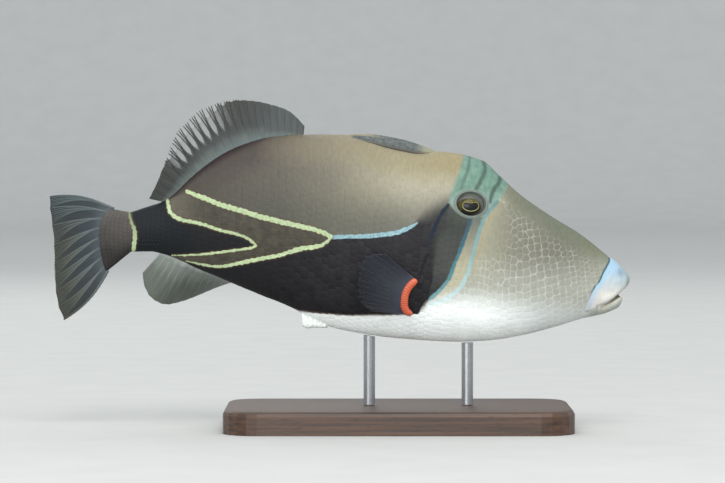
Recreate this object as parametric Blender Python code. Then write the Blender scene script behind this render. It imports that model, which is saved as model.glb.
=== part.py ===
"""A life-size reef triggerfish on a plain display stand.

The fish swims level: +X runs to its snout, +Y to its left side and +Z up. The origin is on the floor under
the middle of the whole. Lengths are millimetres until a mesh is made, which is in metres.
"""

import math

import bmesh
import bpy
import numpy as np

MM = 0.001
GAP = 0.3

# Body: the back and belly lines run from the tail's root to the lips, as (x, z)
TAIL_ROOT_X = -72.6
PEDUNCLE_FRONT_X = -63.3
HEAD_REAR_X = 38.6
LIP_ROOT_X = 93.1
BACK_LINE = (
    (-72.6, 75.1), (-66.0, 77.3), (-61.5, 78.8), (-57.7, 81.4), (-52.2, 86.7), (-45.2, 92.4), (-38.3, 96.6),
    (-31.4, 99.3), (-24.4, 101.1), (-13.0, 102.0), (0.5, 102.0), (8.5, 100.0), (18.9, 97.0), (28.0, 95.6),
    (33.1, 96.2), (38.6, 95.7), (49.4, 92.9), (55.3, 87.6), (62.2, 81.3), (72.6, 74.0), (83.0, 67.6),
    (93.1, 59.6),
)
BELLY_LINE = (
    (-72.6, 61.2), (-66.0, 61.3), (-60.8, 60.2), (-48.7, 55.0), (-27.9, 46.3), (-17.5, 42.1), (-10.6, 38.3),
    (-3.6, 35.2), (3.3, 33.6), (20.0, 31.2), (41.4, 30.0), (51.8, 30.5), (62.2, 32.1), (72.6, 34.7),
    (83.4, 38.0),
)
# Sections lean forward towards the head: the belly place that faces each back place
SECTION_FOOT = ((-72.6, -72.6), (-10.0, -10.0), (38.6, 29.6), (93.1, 83.4))
HALF_WIDTH = (
    (-72.6, 3.1), (-62.0, 4.2), (-48.7, 7.2), (-31.4, 10.8), (-14.0, 13.5), (3.3, 15.1), (20.6, 15.8),
    (34.5, 15.6), (44.9, 14.6), (58.7, 12.6), (72.6, 10.2), (86.5, 7.5), (93.1, 6.2),
)
WIDEST_LEVEL = ((-72.6, 0.0), (-30.0, 0.04), (10.0, 0.0), (35.0, -0.1), (60.0, -0.18), (93.1, -0.1))
BACK_ROUNDING = (2.2, 2.0)
BELLY_ROUNDING = (1.9, 1.6)

# Lips: lengths along the snout's own axis, which leans down, and levels up its root plane
MOUTH_ROOT_LEVEL = 1.2
MOUTH_FRONT_LEVEL = 13.5
UPPER_LIP_LENGTH = 9.8
LOWER_LIP_LENGTH = 10.4
LIP_HALF_WIDTH = 6.2
UPPER_LIP_TOP = ((0.0, 23.7), (3.5, 22.8), (6.0, 21.7), (8.2, 20.6), (9.8, 19.0))
LOWER_LIP_FOOT = ((0.0, 0.0), (2.7, 1.6), (5.0, 3.3), (8.1, 6.4), (9.6, 8.1), (10.4, 9.6))

# Tail: the fleshy base ends in an arc, where the fin's rays begin
TAIL_ARC = (
    (0.0, -79.3, 76.2), (0.12, -81.6, 74.4), (0.25, -83.0, 71.4), (0.42, -83.5, 67.1), (0.62, -83.1, 62.2),
    (0.82, -82.3, 57.7), (1.0, -81.2, 54.2),
)
TAIL_REAR = (
    (0.0, -101.6, 79.6), (0.06, -101.5, 77.0), (0.2, -100.9, 72.3), (0.4, -100.0, 64.4), (0.6, -99.8, 56.5),
    (0.8, -99.6, 48.4), (0.93, -98.7, 42.0), (1.0, -97.0, 37.8),
)
TAIL_BASE_END_HALF = 1.4
TAIL_EDGE_BULGE = (2.4, 2.2)
TAIL_SWEEP = 8.0

# Soft fins: base place, ray length, lean back and lean to the left, in degrees
DORSAL_RAYS = (
    (-13.0, 3.0, -8.0, 0.0), (-18.2, 8.5, 0.0, 2.0), (-22.7, 11.2, 8.0, 5.0), (-27.6, 13.6, 12.0, 8.0),
    (-32.4, 15.7, 17.0, 9.0), (-37.3, 17.1, 25.0, 7.0), (-42.1, 16.6, 33.0, 3.0), (-47.0, 15.2, 38.5, -3.0),
    (-51.8, 11.4, 45.0, -7.0), (-56.7, 7.6, 58.0, -8.0), (-61.5, 4.9, 78.0, -5.0),
)
ANAL_RAYS = (
    (-22.7, 5.0, 35.0, 97.0), (-30.0, 11.0, 35.0, 95.0), (-36.2, 14.5, 34.0, 89.0),
    (-40.0, 16.2, 31.0, 77.0), (-43.5, 17.2, 29.0, 64.0), (-47.0, 17.6, 28.0, 50.0),
    (-50.4, 17.6, 27.0, 36.0), (-53.9, 17.4, 28.0, 18.0), (-57.4, 16.3, 31.0, 8.0), (-60.2, 13.5, 35.0, 4.0),
    (-62.4, 9.3, 42.0, 2.0),
)
ANAL_SIDESTEP = 1.5
FIN_BASE_HALF = 0.62
MEMBRANE_HALF = 0.26
RIDGE = 0.34
RIDGE_FOOT = 0.24
DORSAL_RAY_COUNT = 24
ANAL_RAY_COUNT = 21
CAUDAL_RAY_COUNT = 12
PECTORAL_RAY_COUNT = 13

# Pectoral fins: the root bar and the far margin, from the upper edge to the lower one, as (x, z)
PECTORAL_ROOT = (
    (0.0, 25.9, 51.9), (0.17, 24.1, 50.1), (0.38, 22.6, 47.7), (0.58, 22.1, 45.2), (0.78, 22.2, 42.7),
    (0.92, 22.9, 40.9), (1.0, 23.9, 40.0),
)
PECTORAL_TIPS = (
    (0.0, 15.2, 61.3), (0.1, 10.8, 61.1), (0.25, 7.4, 58.6), (0.45, 6.0, 53.6), (0.65, 5.7, 48.9),
    (0.82, 6.6, 44.6), (1.0, 10.4, 41.2),
)
PECTORAL_ROOT_HALF = 1.0
PECTORAL_SPREAD = 3.4
PECTORAL_BAR_HALF = 1.1

# Folded first dorsal fin, in its trough: place and height of its upper edge
FOLDED_FIN_TOP = (
    (2.8, 101.9), (6.8, 102.2), (10.2, 102.1), (13.7, 101.7), (17.2, 101.1), (20.6, 100.4), (24.1, 99.5),
    (27.6, 98.3), (31.0, 97.0),
)
FOLDED_FIN_SINK = 1.1
FOLDED_FIN_HALF = 1.9
FIRST_SPINE = (31.0, 4.2, 1.35, 0.4)
SECOND_SPINE = (28.6, 16.0, 1.25, 0.35)
SECOND_SPINE_DROP = 2.3

# Pelvic knob: place and height of its underside
KNOB_FOOT = ((-13.6, 37.6), (-13.2, 35.6), (-11.5, 34.7), (-9.0, 35.0), (-6.4, 34.9), (-4.4, 34.9))
KNOB_HALF = 1.6

# Eyes and nostrils
EYE_X = 45.2
EYE_Z = 77.9
EYE_HALF = (5.7, 5.3, 3.6)
EYE_SINK = 2.2
ORBIT_RIM = (5.9, 0.75)
ORBIT_STEPS = (20, 6)
NOSTRILS = ((55.4, 78.9, 0.45), (57.0, 78.1, 0.55))
NOSTRIL_DEPTH = 0.9
GILL_SLIT = ((30.2, 60.0), (27.6, 51.6))
GILL_SLIT_SIZE = (0.5, 1.0)

# Rows of small spines, pointing ahead, on each side of the peduncle
SPINULE_HEIGHTS = (68.7, 66.8, 64.9)
SPINULE_PLACES = (-69.8, -68.4, -67.0, -65.6, -64.4)
SPINULE_SIZE = (0.3, 0.75, 0.6)

# Stand
BASE_CENTRE_X = 20.0
BASE_SIZE = (120.0, 70.0, 8.0)
BASE_CORNER = 12.0
BASE_EDGE = 1.5
ROD_PLACES = {"stand_rod_front": 44.0, "stand_rod_rear": 10.0}
ROD_RADIUS = 2.0
ROD_SIDES = 16

COLLECTION = "reef_triggerfish"


class Curve:
    """A smooth curve through rows of (place, value, ...) that does not overshoot between two rows."""

    def __init__(self, rows):
        table = np.array(rows, float)
        self.place = table[:, 0]
        self.value = table[:, 1:]
        run = np.diff(self.place)[:, None]
        rise = np.diff(self.value, axis=0) / run
        self.slope = np.zeros_like(self.value)
        self.slope[0] = rise[0]
        self.slope[-1] = rise[-1]
        before, after = rise[:-1], rise[1:]
        same_way = before * after > 0
        total = np.where(same_way, before + after, 1.0)
        self.slope[1:-1] = np.where(same_way, 2 * before * after / total, 0.0)

    def __call__(self, place):
        place = min(max(place, self.place[0]), self.place[-1])
        i = min(int(np.searchsorted(self.place, place, "right")) - 1, len(self.place) - 2)
        run = self.place[i + 1] - self.place[i]
        t = (place - self.place[i]) / run
        value = (
            (1 + 2 * t) * (1 - t) ** 2 * self.value[i]
            + t * (1 - t) ** 2 * run * self.slope[i]
            + t * t * (3 - 2 * t) * self.value[i + 1]
            + t * t * (t - 1) * run * self.slope[i + 1]
        )
        return float(value[0]) if len(value) == 1 else value


BACK = Curve(BACK_LINE)
BELLY = Curve(BELLY_LINE)
FOOT = Curve(SECTION_FOOT)
WIDTH = Curve(HALF_WIDTH)
WIDEST = Curve(WIDEST_LEVEL)


def vector(x, y, z):
    return np.array([x, y, z], float)


def unit(v):
    return v / np.linalg.norm(v)


def rounded(level, widest):
    """Share of the half width at a level from -1 at the belly to 1 at the back."""
    if level >= widest:
        reach, (p, q) = 1 - widest, BACK_ROUNDING
    else:
        reach, (p, q) = 1 + widest, BELLY_ROUNDING
    share = min(abs(level - widest) / reach, 1.0)
    return (1 - share**p) ** (1 / q)


def section_ends(u):
    """Back point and belly point of the section whose back point is at x = u."""
    foot = FOOT(u)
    return vector(u, 0, BACK(u)), vector(foot, 0, BELLY(foot))


def body_point(u, level, side=1):
    """Point on the body's skin, on the left side for side 1 and on the right for -1."""
    top, bottom = section_ends(u)
    point = (top + bottom) / 2 + (top - bottom) / 2 * level
    point[1] = side * WIDTH(u) * rounded(level, WIDEST(u))
    return point


def section_at(x, z):
    """Section place and level of the point of the flank that is seen at (x, z) from the side."""
    low, high = TAIL_ROOT_X, LIP_ROOT_X
    for _ in range(40):
        u = (low + high) / 2
        top, bottom = section_ends(u)
        across = (z - bottom[2]) / (top[2] - bottom[2])
        if bottom[0] + (top[0] - bottom[0]) * across < x:
            low = u
        else:
            high = u
    return u, min(max(2 * across - 1, -0.999), 0.999)


def flank(x, z, side):
    """Skin point and outward normal of the flank at (x, z)."""
    u, level = section_at(x, z)
    step = 0.01
    point = body_point(u, level, side)
    along = body_point(u + step, level, side) - point
    upward = body_point(u, min(level + step, 0.9999), side) - point
    normal = unit(np.cross(along, upward))
    return point, normal * (1 if normal[1] * side > 0 else -1)


def body_ring(u, count):
    """Closed ring of skin points round the section at u, with count steps up each side."""
    widest = WIDEST(u)
    side_points = []
    for angle in np.linspace(-math.pi / 2, math.pi / 2, count + 1)[1:-1]:
        reach, (p, _) = (1 - widest, BACK_ROUNDING) if angle >= 0 else (1 + widest, BELLY_ROUNDING)
        level = widest + math.copysign(reach * abs(math.sin(angle)) ** (2 / p), angle)
        side_points.append(level)
    top, bottom = section_ends(u)
    right = [body_point(u, level, -1) for level in side_points]
    left = [body_point(u, level, 1) for level in reversed(side_points)]
    return [bottom, *right, top, *left]


def stations(first, last, count, dense=None):
    """Places from first to last, closer together inside the dense span, if any."""
    if dense is None:
        return list(np.linspace(first, last, count + 1))
    start, end, inner = dense
    share = (start - first) / ((start - first) + (last - end))
    before = max(1, round((count - inner) * share))
    after = count - inner - before
    return [
        *np.linspace(first, start, before + 1)[:-1],
        *np.linspace(start, end, inner + 1)[:-1],
        *np.linspace(end, last, after + 1),
    ]


def collection(name):
    found = bpy.data.collections.get(name)
    if found is None:
        found = bpy.data.collections.new(name)
        bpy.context.scene.collection.children.link(found)
    return found


def material(name, colour, roughness, metallic=0.0):
    made = bpy.data.materials.new(name)
    made.use_nodes = True
    shader = made.node_tree.nodes["Principled BSDF"]
    shader.inputs["Base Color"].default_value = (*colour, 1.0)
    shader.inputs["Roughness"].default_value = roughness
    shader.inputs["Metallic"].default_value = metallic
    return made


def new_object(name, points, faces):
    """Mesh object from points in millimetres, with its faces turned outwards."""
    mesh = bpy.data.meshes.new(name)
    mesh.from_pydata([tuple(point * MM) for point in points], [], faces)
    shape = bmesh.new()
    shape.from_mesh(mesh)
    bmesh.ops.recalc_face_normals(shape, faces=shape.faces[:])
    if shape.calc_volume(signed=True) < 0:
        bmesh.ops.reverse_faces(shape, faces=shape.faces[:])
    shape.to_mesh(mesh)
    shape.free()
    obj = bpy.data.objects.new(name, mesh)
    collection(COLLECTION).objects.link(obj)
    return obj


def finish(obj, made_of, sharp_degrees=40.0):
    obj.data.materials.clear()
    obj.data.materials.append(made_of)
    obj.data.shade_smooth()
    obj.data.set_sharp_from_angle(angle=math.radians(sharp_degrees))
    return obj


def side_faces(ring_total, count):
    """Faces between neighbouring rings of count points each."""
    faces = []
    for start in range(0, (ring_total - 1) * count, count):
        for j in range(count):
            k = (j + 1) % count
            faces.append((start + j, start + k, start + count + k, start + count + j))
    return faces


def loft(name, rings, arc_end=False):
    """Solid through rings of equal count, closed by fans; an arc end is closed level by level instead."""
    count = len(rings[0])
    points = [point for ring in rings for point in ring]
    faces = side_faces(len(rings), count)
    last = (len(rings) - 1) * count
    for ring, start in ((rings[0], 0), (rings[-1], last)):
        if arc_end and start == last:
            continue
        middle = len(points)
        points.append(np.mean(ring, axis=0))
        faces += [(middle, start + j, start + (j + 1) % count) for j in range(count)]
    if arc_end:
        for j in range(count // 2):
            corners = (last + j, last + j + 1, last + count - j - 1, last + (count - j) % count)
            faces.append(tuple(dict.fromkeys(corners)))
    return new_object(name, points, faces)


def slab(name, middle, half):
    """Thin solid round a curved sheet of middle points, split into the same triangles on both faces."""
    columns, rows = half.shape
    normal = np.cross(np.gradient(middle, axis=0), np.gradient(middle, axis=1))
    normal /= np.linalg.norm(normal, axis=2, keepdims=True)
    offset = normal * half[:, :, None]
    points = [*(middle + offset).reshape(-1, 3), *(middle - offset).reshape(-1, 3)]
    other = columns * rows
    faces = []
    for i in range(columns - 1):
        for j in range(rows - 1):
            a, b = i * rows + j, (i + 1) * rows + j
            for face in ((a, b, b + 1), (a, b + 1, a + 1)):
                faces.append(face)
                faces.append(tuple(other + corner for corner in reversed(face)))
    rim = [i * rows for i in range(columns)]
    rim += [(columns - 1) * rows + j for j in range(1, rows)]
    rim += [i * rows + rows - 1 for i in range(columns - 2, -1, -1)]
    rim += [j for j in range(rows - 2, 0, -1)]
    for here, there in zip(rim, rim[1:] + rim[:1]):
        faces.append((here, other + here, other + there))
        faces.append((here, other + there, there))
    return new_object(name, points, faces)


def applied(obj):
    """The object with its modifiers applied and only its largest closed surface kept."""
    bpy.context.view_layer.update()
    graph = bpy.context.evaluated_depsgraph_get()
    mesh = bpy.data.meshes.new_from_object(obj.evaluated_get(graph))
    obj.modifiers.clear()
    shape = bmesh.new()
    shape.from_mesh(mesh)
    bmesh.ops.remove_doubles(shape, verts=shape.verts[:], dist=0.000001)
    remaining = set(shape.faces)
    surfaces = []
    while remaining:
        surface = {remaining.pop()}
        reached = list(surface)
        while reached:
            face = reached.pop()
            for edge in face.edges:
                for other in edge.link_faces:
                    if other in remaining:
                        remaining.discard(other)
                        surface.add(other)
                        reached.append(other)
        surfaces.append(surface)
    largest = max(surfaces, key=len)
    loose = [face for surface in surfaces if surface is not largest for face in surface]
    bmesh.ops.delete(shape, geom=loose, context="FACES")
    shape.to_mesh(mesh)
    shape.free()
    obj.data = mesh
    return obj


def combine(obj, pieces, operation):
    """One Boolean of the object with a collection of closed pieces, which are then removed."""
    group = collection("pieces")
    for piece in pieces:
        for owner in piece.users_collection:
            owner.objects.unlink(piece)
        group.objects.link(piece)
    modifier = obj.modifiers.new(operation.lower(), "BOOLEAN")
    modifier.operation = operation
    modifier.operand_type = "COLLECTION"
    modifier.collection = group
    modifier.solver = "EXACT"
    applied(obj)
    for piece in pieces:
        bpy.data.objects.remove(piece)
    return obj


def ellipsoid(name, centre, axes, half, segments, rings):
    """Ellipsoid with its three half sizes along the given axes; the third axis holds its poles."""
    shape = bmesh.new()
    bmesh.ops.create_uvsphere(shape, u_segments=segments, v_segments=rings, radius=1.0)
    turned = [centre + sum(axis * size * part for axis, size, part in zip(axes, half, vertex.co))
              for vertex in shape.verts]
    faces = [[corner.index for corner in face.verts] for face in shape.faces]
    shape.free()
    return new_object(name, turned, faces)


def tube(name, path, radii, sides):
    """Round rod through the points of path, of a radius at each."""
    rings = []
    for i, point in enumerate(path):
        ahead = unit(path[min(i + 1, len(path) - 1)] - path[max(i - 1, 0)])
        across = unit(np.cross(ahead, vector(0, 1, 0)))
        out = np.cross(across, ahead)
        angles = [math.tau * k / sides for k in range(sides)]
        rings.append([point + radii[i] * (across * math.cos(a) + out * math.sin(a)) for a in angles])
    return loft(name, rings)


def body_length(name, first, last, count, ring_count, dense=None):
    """One length of the body between two section places, half a gap short at each end."""
    places = stations(first + GAP / 2, last - GAP / 2, count, dense)
    return loft(name, [body_ring(u, ring_count) for u in places])


def eye_frame(side):
    """Middle of the orbit on the skin, and axes ahead, up and outward."""
    point, outward = flank(EYE_X, EYE_Z, side)
    ahead = unit(vector(1, 0, 0) - outward * outward[0])
    return point, (ahead, unit(np.cross(outward, ahead)), outward)


def orbit_rim(side):
    """Raised ring of skin round the eye."""
    middle, (ahead, upward, outward) = eye_frame(side)
    major, minor = ORBIT_RIM
    turns, sides = ORBIT_STEPS
    points = []
    for i in range(turns):
        a = math.tau * i / turns
        spoke = ahead * math.cos(a) + upward * math.sin(a)
        for j in range(sides):
            b = math.tau * j / sides
            points.append(middle + spoke * (major + minor * math.cos(b)) + outward * minor * math.sin(b))
    total = len(points)
    faces = [tuple(corner % total for corner in face) for face in side_faces(turns + 1, sides)]
    return new_object(f"orbit_rim_{side}", points, faces)


def eye_solid(name, side, clearance=0.0, segments=16, rings=8):
    middle, axes = eye_frame(side)
    half = [size + clearance for size in EYE_HALF]
    return ellipsoid(name, middle - axes[2] * EYE_SINK, axes, half, segments, rings)


def nostril_cutters(side):
    pieces = []
    for number, (x, z, radius) in enumerate(NOSTRILS):
        point, outward = flank(x, z, side)
        path = [point + outward * depth for depth in (NOSTRIL_DEPTH, -NOSTRIL_DEPTH)]
        pieces.append(tube(f"nostril_{side}_{number}", path, (radius * 1.25, radius * 0.8), 8))
    return pieces


def make_head(skin):
    obj = body_length("head", HEAD_REAR_X, LIP_ROOT_X, 22, 18, dense=(42.0, 58.0, 8))
    combine(obj, [orbit_rim(side) for side in (-1, 1)], "UNION")
    cutters = [eye_solid(f"socket_{side}", side, GAP) for side in (-1, 1)]
    for side in (-1, 1):
        cutters += nostril_cutters(side)
    combine(obj, cutters, "DIFFERENCE")
    return finish(obj, skin)


def make_eyes():
    for name, side in (("eye_right", -1), ("eye_left", 1)):
        finish(eye_solid(name, side), material(name, (0.03, 0.03, 0.03), 0.1))


def gill_cutter(side):
    """Wedge along the short gill opening, above and ahead of the pectoral fin's root."""
    (x0, z0), (x1, z1) = GILL_SLIT
    half_wide, deep = GILL_SLIT_SIZE[0] / 2, GILL_SLIT_SIZE[1]
    across = unit(vector(z0 - z1, 0, x1 - x0))
    rings = []
    for t in np.linspace(0, 1, 7):
        point, outward = flank(x0 + (x1 - x0) * t, z0 + (z1 - z0) * t, side)
        wide = across * half_wide * (0.4 + 0.6 * math.sin(math.pi * t))
        inner, outer = point - outward * deep, point + outward * deep
        rings.append([inner - wide * 0.4, inner + wide * 0.4, outer + wide * 1.4, outer - wide * 1.4])
    return loft(f"gill_slit_{side}", rings)


def spine_centre(size, drop, t):
    """Middle and radius of a laid-back spine, t of the way from its root to its tip."""
    root_x, tip_x, root_radius, tip_radius = size
    x = root_x + (tip_x - root_x) * t
    radius = root_radius + (tip_radius - root_radius) * t
    return vector(x, 0, Curve(FOLDED_FIN_TOP)(x) - radius - drop * (1 - 0.35 * t)), radius


def spine(name, size, drop, sides=8, count=7):
    """Stout spine laid back under the folded fin's upper edge, thinning to its tip."""
    steps = [spine_centre(size, drop, t) for t in np.linspace(0, 1, count)]
    return tube(name, [centre for centre, _ in steps], [radius for _, radius in steps], sides)


def folded_fin_foot(x):
    """Height of the folded fin's underside, and its share of the full width there."""
    taper = min(1.0, 0.45 + 0.1 * (x - FOLDED_FIN_TOP[0][0]))
    return BACK(x) - FOLDED_FIN_SINK * taper, taper


def folded_fin_ring(x):
    """Section across the folded fin's membrane."""
    top = Curve(FOLDED_FIN_TOP)(x)
    foot, taper = folded_fin_foot(x)
    half = FOLDED_FIN_HALF * taper
    shape = ((0.0, 0.55), (0.2, 1.0), (0.38, 0.72), (0.7, 0.34), (0.97, 0.15))
    right = [vector(x, -half * wide, foot + (top - foot) * up) for up, wide in shape]
    left = [point * vector(1, -1, 1) for point in reversed(right)]
    return right + left


def spine_underside(size, drop):
    """Heights of a laid-back spine's underside along it."""
    steps = [spine_centre(size, drop, t) for t in (0.0, 0.5, 1.0)]
    return Curve(sorted((centre[0], centre[2] - radius) for centre, radius in steps))


def trough_cutter():
    """Space that the folded fin lies in, wider than its membrane and its spines by the gap."""
    first, last = FOLDED_FIN_TOP[0][0] - GAP, FIRST_SPINE[0] + GAP
    undersides = (
        (FIRST_SPINE, spine_underside(FIRST_SPINE, 0.0)),
        (SECOND_SPINE, spine_underside(SECOND_SPINE, SECOND_SPINE_DROP)),
    )
    rings = []
    for x in np.linspace(first, last, 17):
        foot, taper = folded_fin_foot(x)
        for size, underneath in undersides:
            if size[1] - 1 < x < size[0] + 1:
                foot = min(foot, underneath(x))
        foot -= GAP * 1.3
        half = FOLDED_FIN_HALF * taper + GAP
        shape = ((0.0, 0.55), (0.8, 1.0), (6.0, 1.15))
        right = [vector(x, -half * wide, foot + up) for up, wide in shape]
        rings.append(right + [point * vector(1, -1, 1) for point in reversed(right)])
    return loft("trough", rings)


def make_trunk(skin):
    obj = body_length("trunk", PEDUNCLE_FRONT_X, HEAD_REAR_X, 26, 16)
    cutters = [gill_cutter(-1), gill_cutter(1), trough_cutter()]
    combine(obj, cutters, "DIFFERENCE")
    return finish(obj, skin)


def spinule(x, z, side):
    """Small spine with its root sunk in the flank and its point ahead."""
    half, reach, height = SPINULE_SIZE
    point, outward = flank(x, z, side)
    ahead = unit(vector(1, 0, 0) - outward * outward[0])
    upward = np.cross(outward, ahead)
    foot = point - outward * half
    long = ahead * half * 1.6
    corners = [foot - long, foot + upward * half, foot + long, foot - upward * half]
    tip = point + ahead * reach + outward * height
    faces = [(0, 1, 2, 3), *[(k, (k + 1) % 4, 4) for k in range(4)]]
    return new_object("spinule", [*corners, tip], faces)


def make_peduncle(skin):
    obj = body_length("caudal_peduncle", TAIL_ROOT_X, PEDUNCLE_FRONT_X, 4, 12)
    spines = [spinule(x, z, side) for x in SPINULE_PLACES for z in SPINULE_HEIGHTS for side in (-1, 1)]
    combine(obj, spines, "UNION")
    return finish(obj, skin)


def make_first_dorsal():
    places = np.linspace(FOLDED_FIN_TOP[0][0], FOLDED_FIN_TOP[-1][0], 14)
    obj = loft("first_dorsal_fin", [folded_fin_ring(x) for x in places])
    spines = [spine("spine_1", FIRST_SPINE, 0.0), spine("spine_2", SECOND_SPINE, SECOND_SPINE_DROP)]
    combine(obj, spines, "UNION")
    return finish(obj, material("first_dorsal_fin", (0.21, 0.23, 0.21), 0.55))


def make_pelvic_terminus():
    """Knob at the end of the pelvis, on the belly's edge, with its encasing scales as steps."""
    foot = Curve(KNOB_FOOT)
    rings = []
    places = np.linspace(KNOB_FOOT[0][0], KNOB_FOOT[-1][0], 10)
    for number, x in enumerate(places):
        top = BELLY(x) - GAP * 1.2
        low = min(foot(x), top - 0.3)
        half = KNOB_HALF * (1.0 if number % 2 else 0.8) * (0.5 if number in (0, len(places) - 1) else 1.0)
        shape = ((1.0, 0.45), (0.65, 1.0), (0.3, 0.9), (0.0, 0.35))
        right = [vector(x, -half * wide, low + (top - low) * up) for up, wide in shape]
        rings.append(right + [point * vector(1, -1, 1) for point in reversed(right)])
    return finish(loft("pelvic_terminus", rings), material("pelvic_terminus", (0.75, 0.77, 0.72), 0.5))


def snout_frame():
    """Foot of the lips' root plane, and axes ahead along the snout and up the plane."""
    top, bottom = section_ends(LIP_ROOT_X)
    upward = unit(top - bottom)
    return bottom, vector(upward[2], 0, -upward[0]), upward


def lip_ring(ahead, low, high, half, roll):
    """Section across one lip, from its lower level to its upper one."""
    origin, forward, upward = snout_frame()
    shape = ((0.0, 1 - roll), (0.1, 1 - 0.35 * roll), (0.3, 1.0), (0.55, 0.93), (0.78, 0.72), (0.93, 0.42))
    right = []
    for up, wide in shape:
        point = origin + forward * ahead + upward * (low + (high - low) * up)
        right.append(point + vector(0, -half * wide, 0))
    summit = origin + forward * ahead + upward * high
    return [*right, summit, *[point * vector(1, -1, 1) for point in reversed(right)]]


def make_lips():
    """Upper and lower lip, parted along the line of the mouth."""
    upper_top, lower_foot = Curve(UPPER_LIP_TOP), Curve(LOWER_LIP_FOOT)
    steps = np.sin(np.linspace(0, math.pi / 2, 11))
    rise = (MOUTH_FRONT_LEVEL - MOUTH_ROOT_LEVEL) / UPPER_LIP_LENGTH
    upper, lower = [], []
    for step in steps:
        ahead = GAP / 2 + (UPPER_LIP_LENGTH - GAP / 2) * step
        mouth = MOUTH_ROOT_LEVEL + rise * ahead + GAP / 2
        closing = (1 - min(step, 0.985) ** 2.4) ** 0.5
        high = mouth + (upper_top(ahead) - mouth) * closing**0.12
        low = mouth + 0.9 * (1 - closing) ** 2
        upper.append(lip_ring(ahead, low, high, LIP_HALF_WIDTH * closing**0.8, 0.3 * step))
    for step in steps:
        ahead = GAP / 2 + (LOWER_LIP_LENGTH - GAP / 2) * step
        mouth = MOUTH_ROOT_LEVEL + rise * min(ahead, UPPER_LIP_LENGTH) - GAP / 2
        closing = (1 - min(step, 0.985) ** 2.4) ** 0.5
        low = lower_foot(ahead)
        high = mouth - 0.8 * (1 - closing) ** 2
        half = LIP_HALF_WIDTH * closing**0.8 * (0.35 + 0.6 * min(1.0, (high - low) / 5.0))
        flipped = lip_ring(ahead, high, low, half, 0.3 * step)
        lower.append(flipped)
    lip = material("lip", (0.62, 0.72, 0.8), 0.4)
    finish(loft("upper_lip", upper), lip)
    finish(loft("lower_lip", lower), material("lower_lip", (0.6, 0.58, 0.5), 0.45))


def make_tail_base(skin):
    """Fleshy root of the tail, from the peduncle's oval end to a thin arc."""
    arc = Curve(TAIL_ARC)
    front_x = TAIL_ROOT_X - GAP / 2
    top, bottom = section_ends(TAIL_ROOT_X)
    levels, columns = 12, 5
    rings = []
    for t in np.linspace(0, 1, columns + 1):
        right = []
        for s in (1 - np.cos(np.linspace(0, math.pi, levels + 1))) / 2:
            front = vector(front_x, 0, top[2] + (bottom[2] - top[2]) * s)
            x, z = arc(s)
            point = front + (vector(x, 0, z) - front) * t
            half = WIDTH(TAIL_ROOT_X) + (TAIL_BASE_END_HALF - WIDTH(TAIL_ROOT_X)) * t
            point[1] = -half * rounded(1 - 2 * s, 0.0)
            right.append(point)
        rings.append([*right, *[point * vector(1, -1, 1) for point in right[-2:0:-1]]])
    return finish(loft("tail_base", rings, arc_end=True), skin)


def ray_columns(count):
    """Columns across a fin of so many rays: place, and how high the ray stands there at root and tip."""
    pitch = 1 / (count - 1)
    columns = []
    for ray in range(count):
        place = ray * pitch
        columns += [(place - RIDGE_FOOT * pitch, 0, 0), (place, 1, 1), (place + RIDGE_FOOT * pitch, 0, 0)]
    return columns[1:-1]


def branched_columns(count):
    """The same, for rays that fork into two branches towards their tips."""
    pitch = 1 / count
    across_ray = ((-0.38, 0, 0), (-0.22, 0.6, 1), (0, 1, 0.1), (0.22, 0.6, 1), (0.38, 0, 0))
    columns = []
    for ray in range(count):
        for offset, at_root, at_tip in across_ray:
            columns.append(((ray + 0.5 + offset) * pitch, at_root, at_tip))
    return columns


def fin(name, route, columns, rows, root_half, notch):
    """Membrane with its rays as ridges on both faces; route(place, t) runs from root to margin."""
    middle = np.zeros((len(columns), rows, 3))
    half = np.zeros((len(columns), rows))
    for i, (place, at_root, at_tip) in enumerate(columns):
        for j in range(rows):
            t = j / (rows - 1)
            share = at_root + (at_tip - at_root) * t
            height = RIDGE * share * (1 - 0.45 * t) if j else 0.0
            half[i, j] = MEMBRANE_HALF + (root_half - MEMBRANE_HALF) * (1 - t) ** 2 + height
            middle[i, j] = route(place, t * (1 - notch * (1 - at_tip)))
    return slab(name, middle, half)


def caudal_route(place, t):
    """Point of the tail fin, which sweeps to the left towards its margin."""
    arc, rear = Curve(TAIL_ARC)(place), Curve(TAIL_REAR)(place)
    base, tip = vector(arc[0], 0, arc[1]), vector(rear[0], 0, rear[1])
    ahead = unit(tip - base)
    start = base + ahead * GAP * 1.3
    outward = vector(ahead[2], 0, -ahead[0])
    upper, lower = TAIL_EDGE_BULGE
    bulge = upper * max(0, 1 - 2 * place) ** 2 - lower * max(0, 2 * place - 1) ** 2
    point = start + (tip - start) * t + outward * bulge * math.sin(math.pi * t * 0.9)
    point[1] = TAIL_SWEEP * t**1.5
    return point


def underside(x, y):
    """Height of the body's underside, y off its middle, where its sections stand upright."""
    top, bottom = section_ends(x)
    p, q = BELLY_ROUNDING
    share = (1 - (abs(y) / WIDTH(x)) ** q) ** (1 / p)
    level = WIDEST(x) - (1 + WIDEST(x)) * share
    return ((top + bottom) / 2 + (top - bottom) / 2 * level)[2]


def median_route(rays, upward):
    """Route of a soft fin on the back (upward 1) or the belly (upward -1), ray by ray along its base."""
    table = Curve(sorted(rays))
    first, last = rays[0][0], rays[-1][0]

    def route(place, t):
        x = first + (last - first) * place
        length, back, left = table(x)
        back, left = math.radians(back), math.radians(left)
        level = math.cos(left)
        ray = vector(-math.sin(back) * level, math.sin(left), upward * math.cos(back) * level)
        lift = upward * (GAP + FIN_BASE_HALF * abs(math.sin(left)))
        if upward > 0:
            return vector(x, 0, BACK(x) + lift) + ray * length * t
        aside = ANAL_SIDESTEP * math.sin(left) ** 2
        return vector(x, aside, underside(x, aside) + lift) + ray * length * t

    return route


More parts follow.
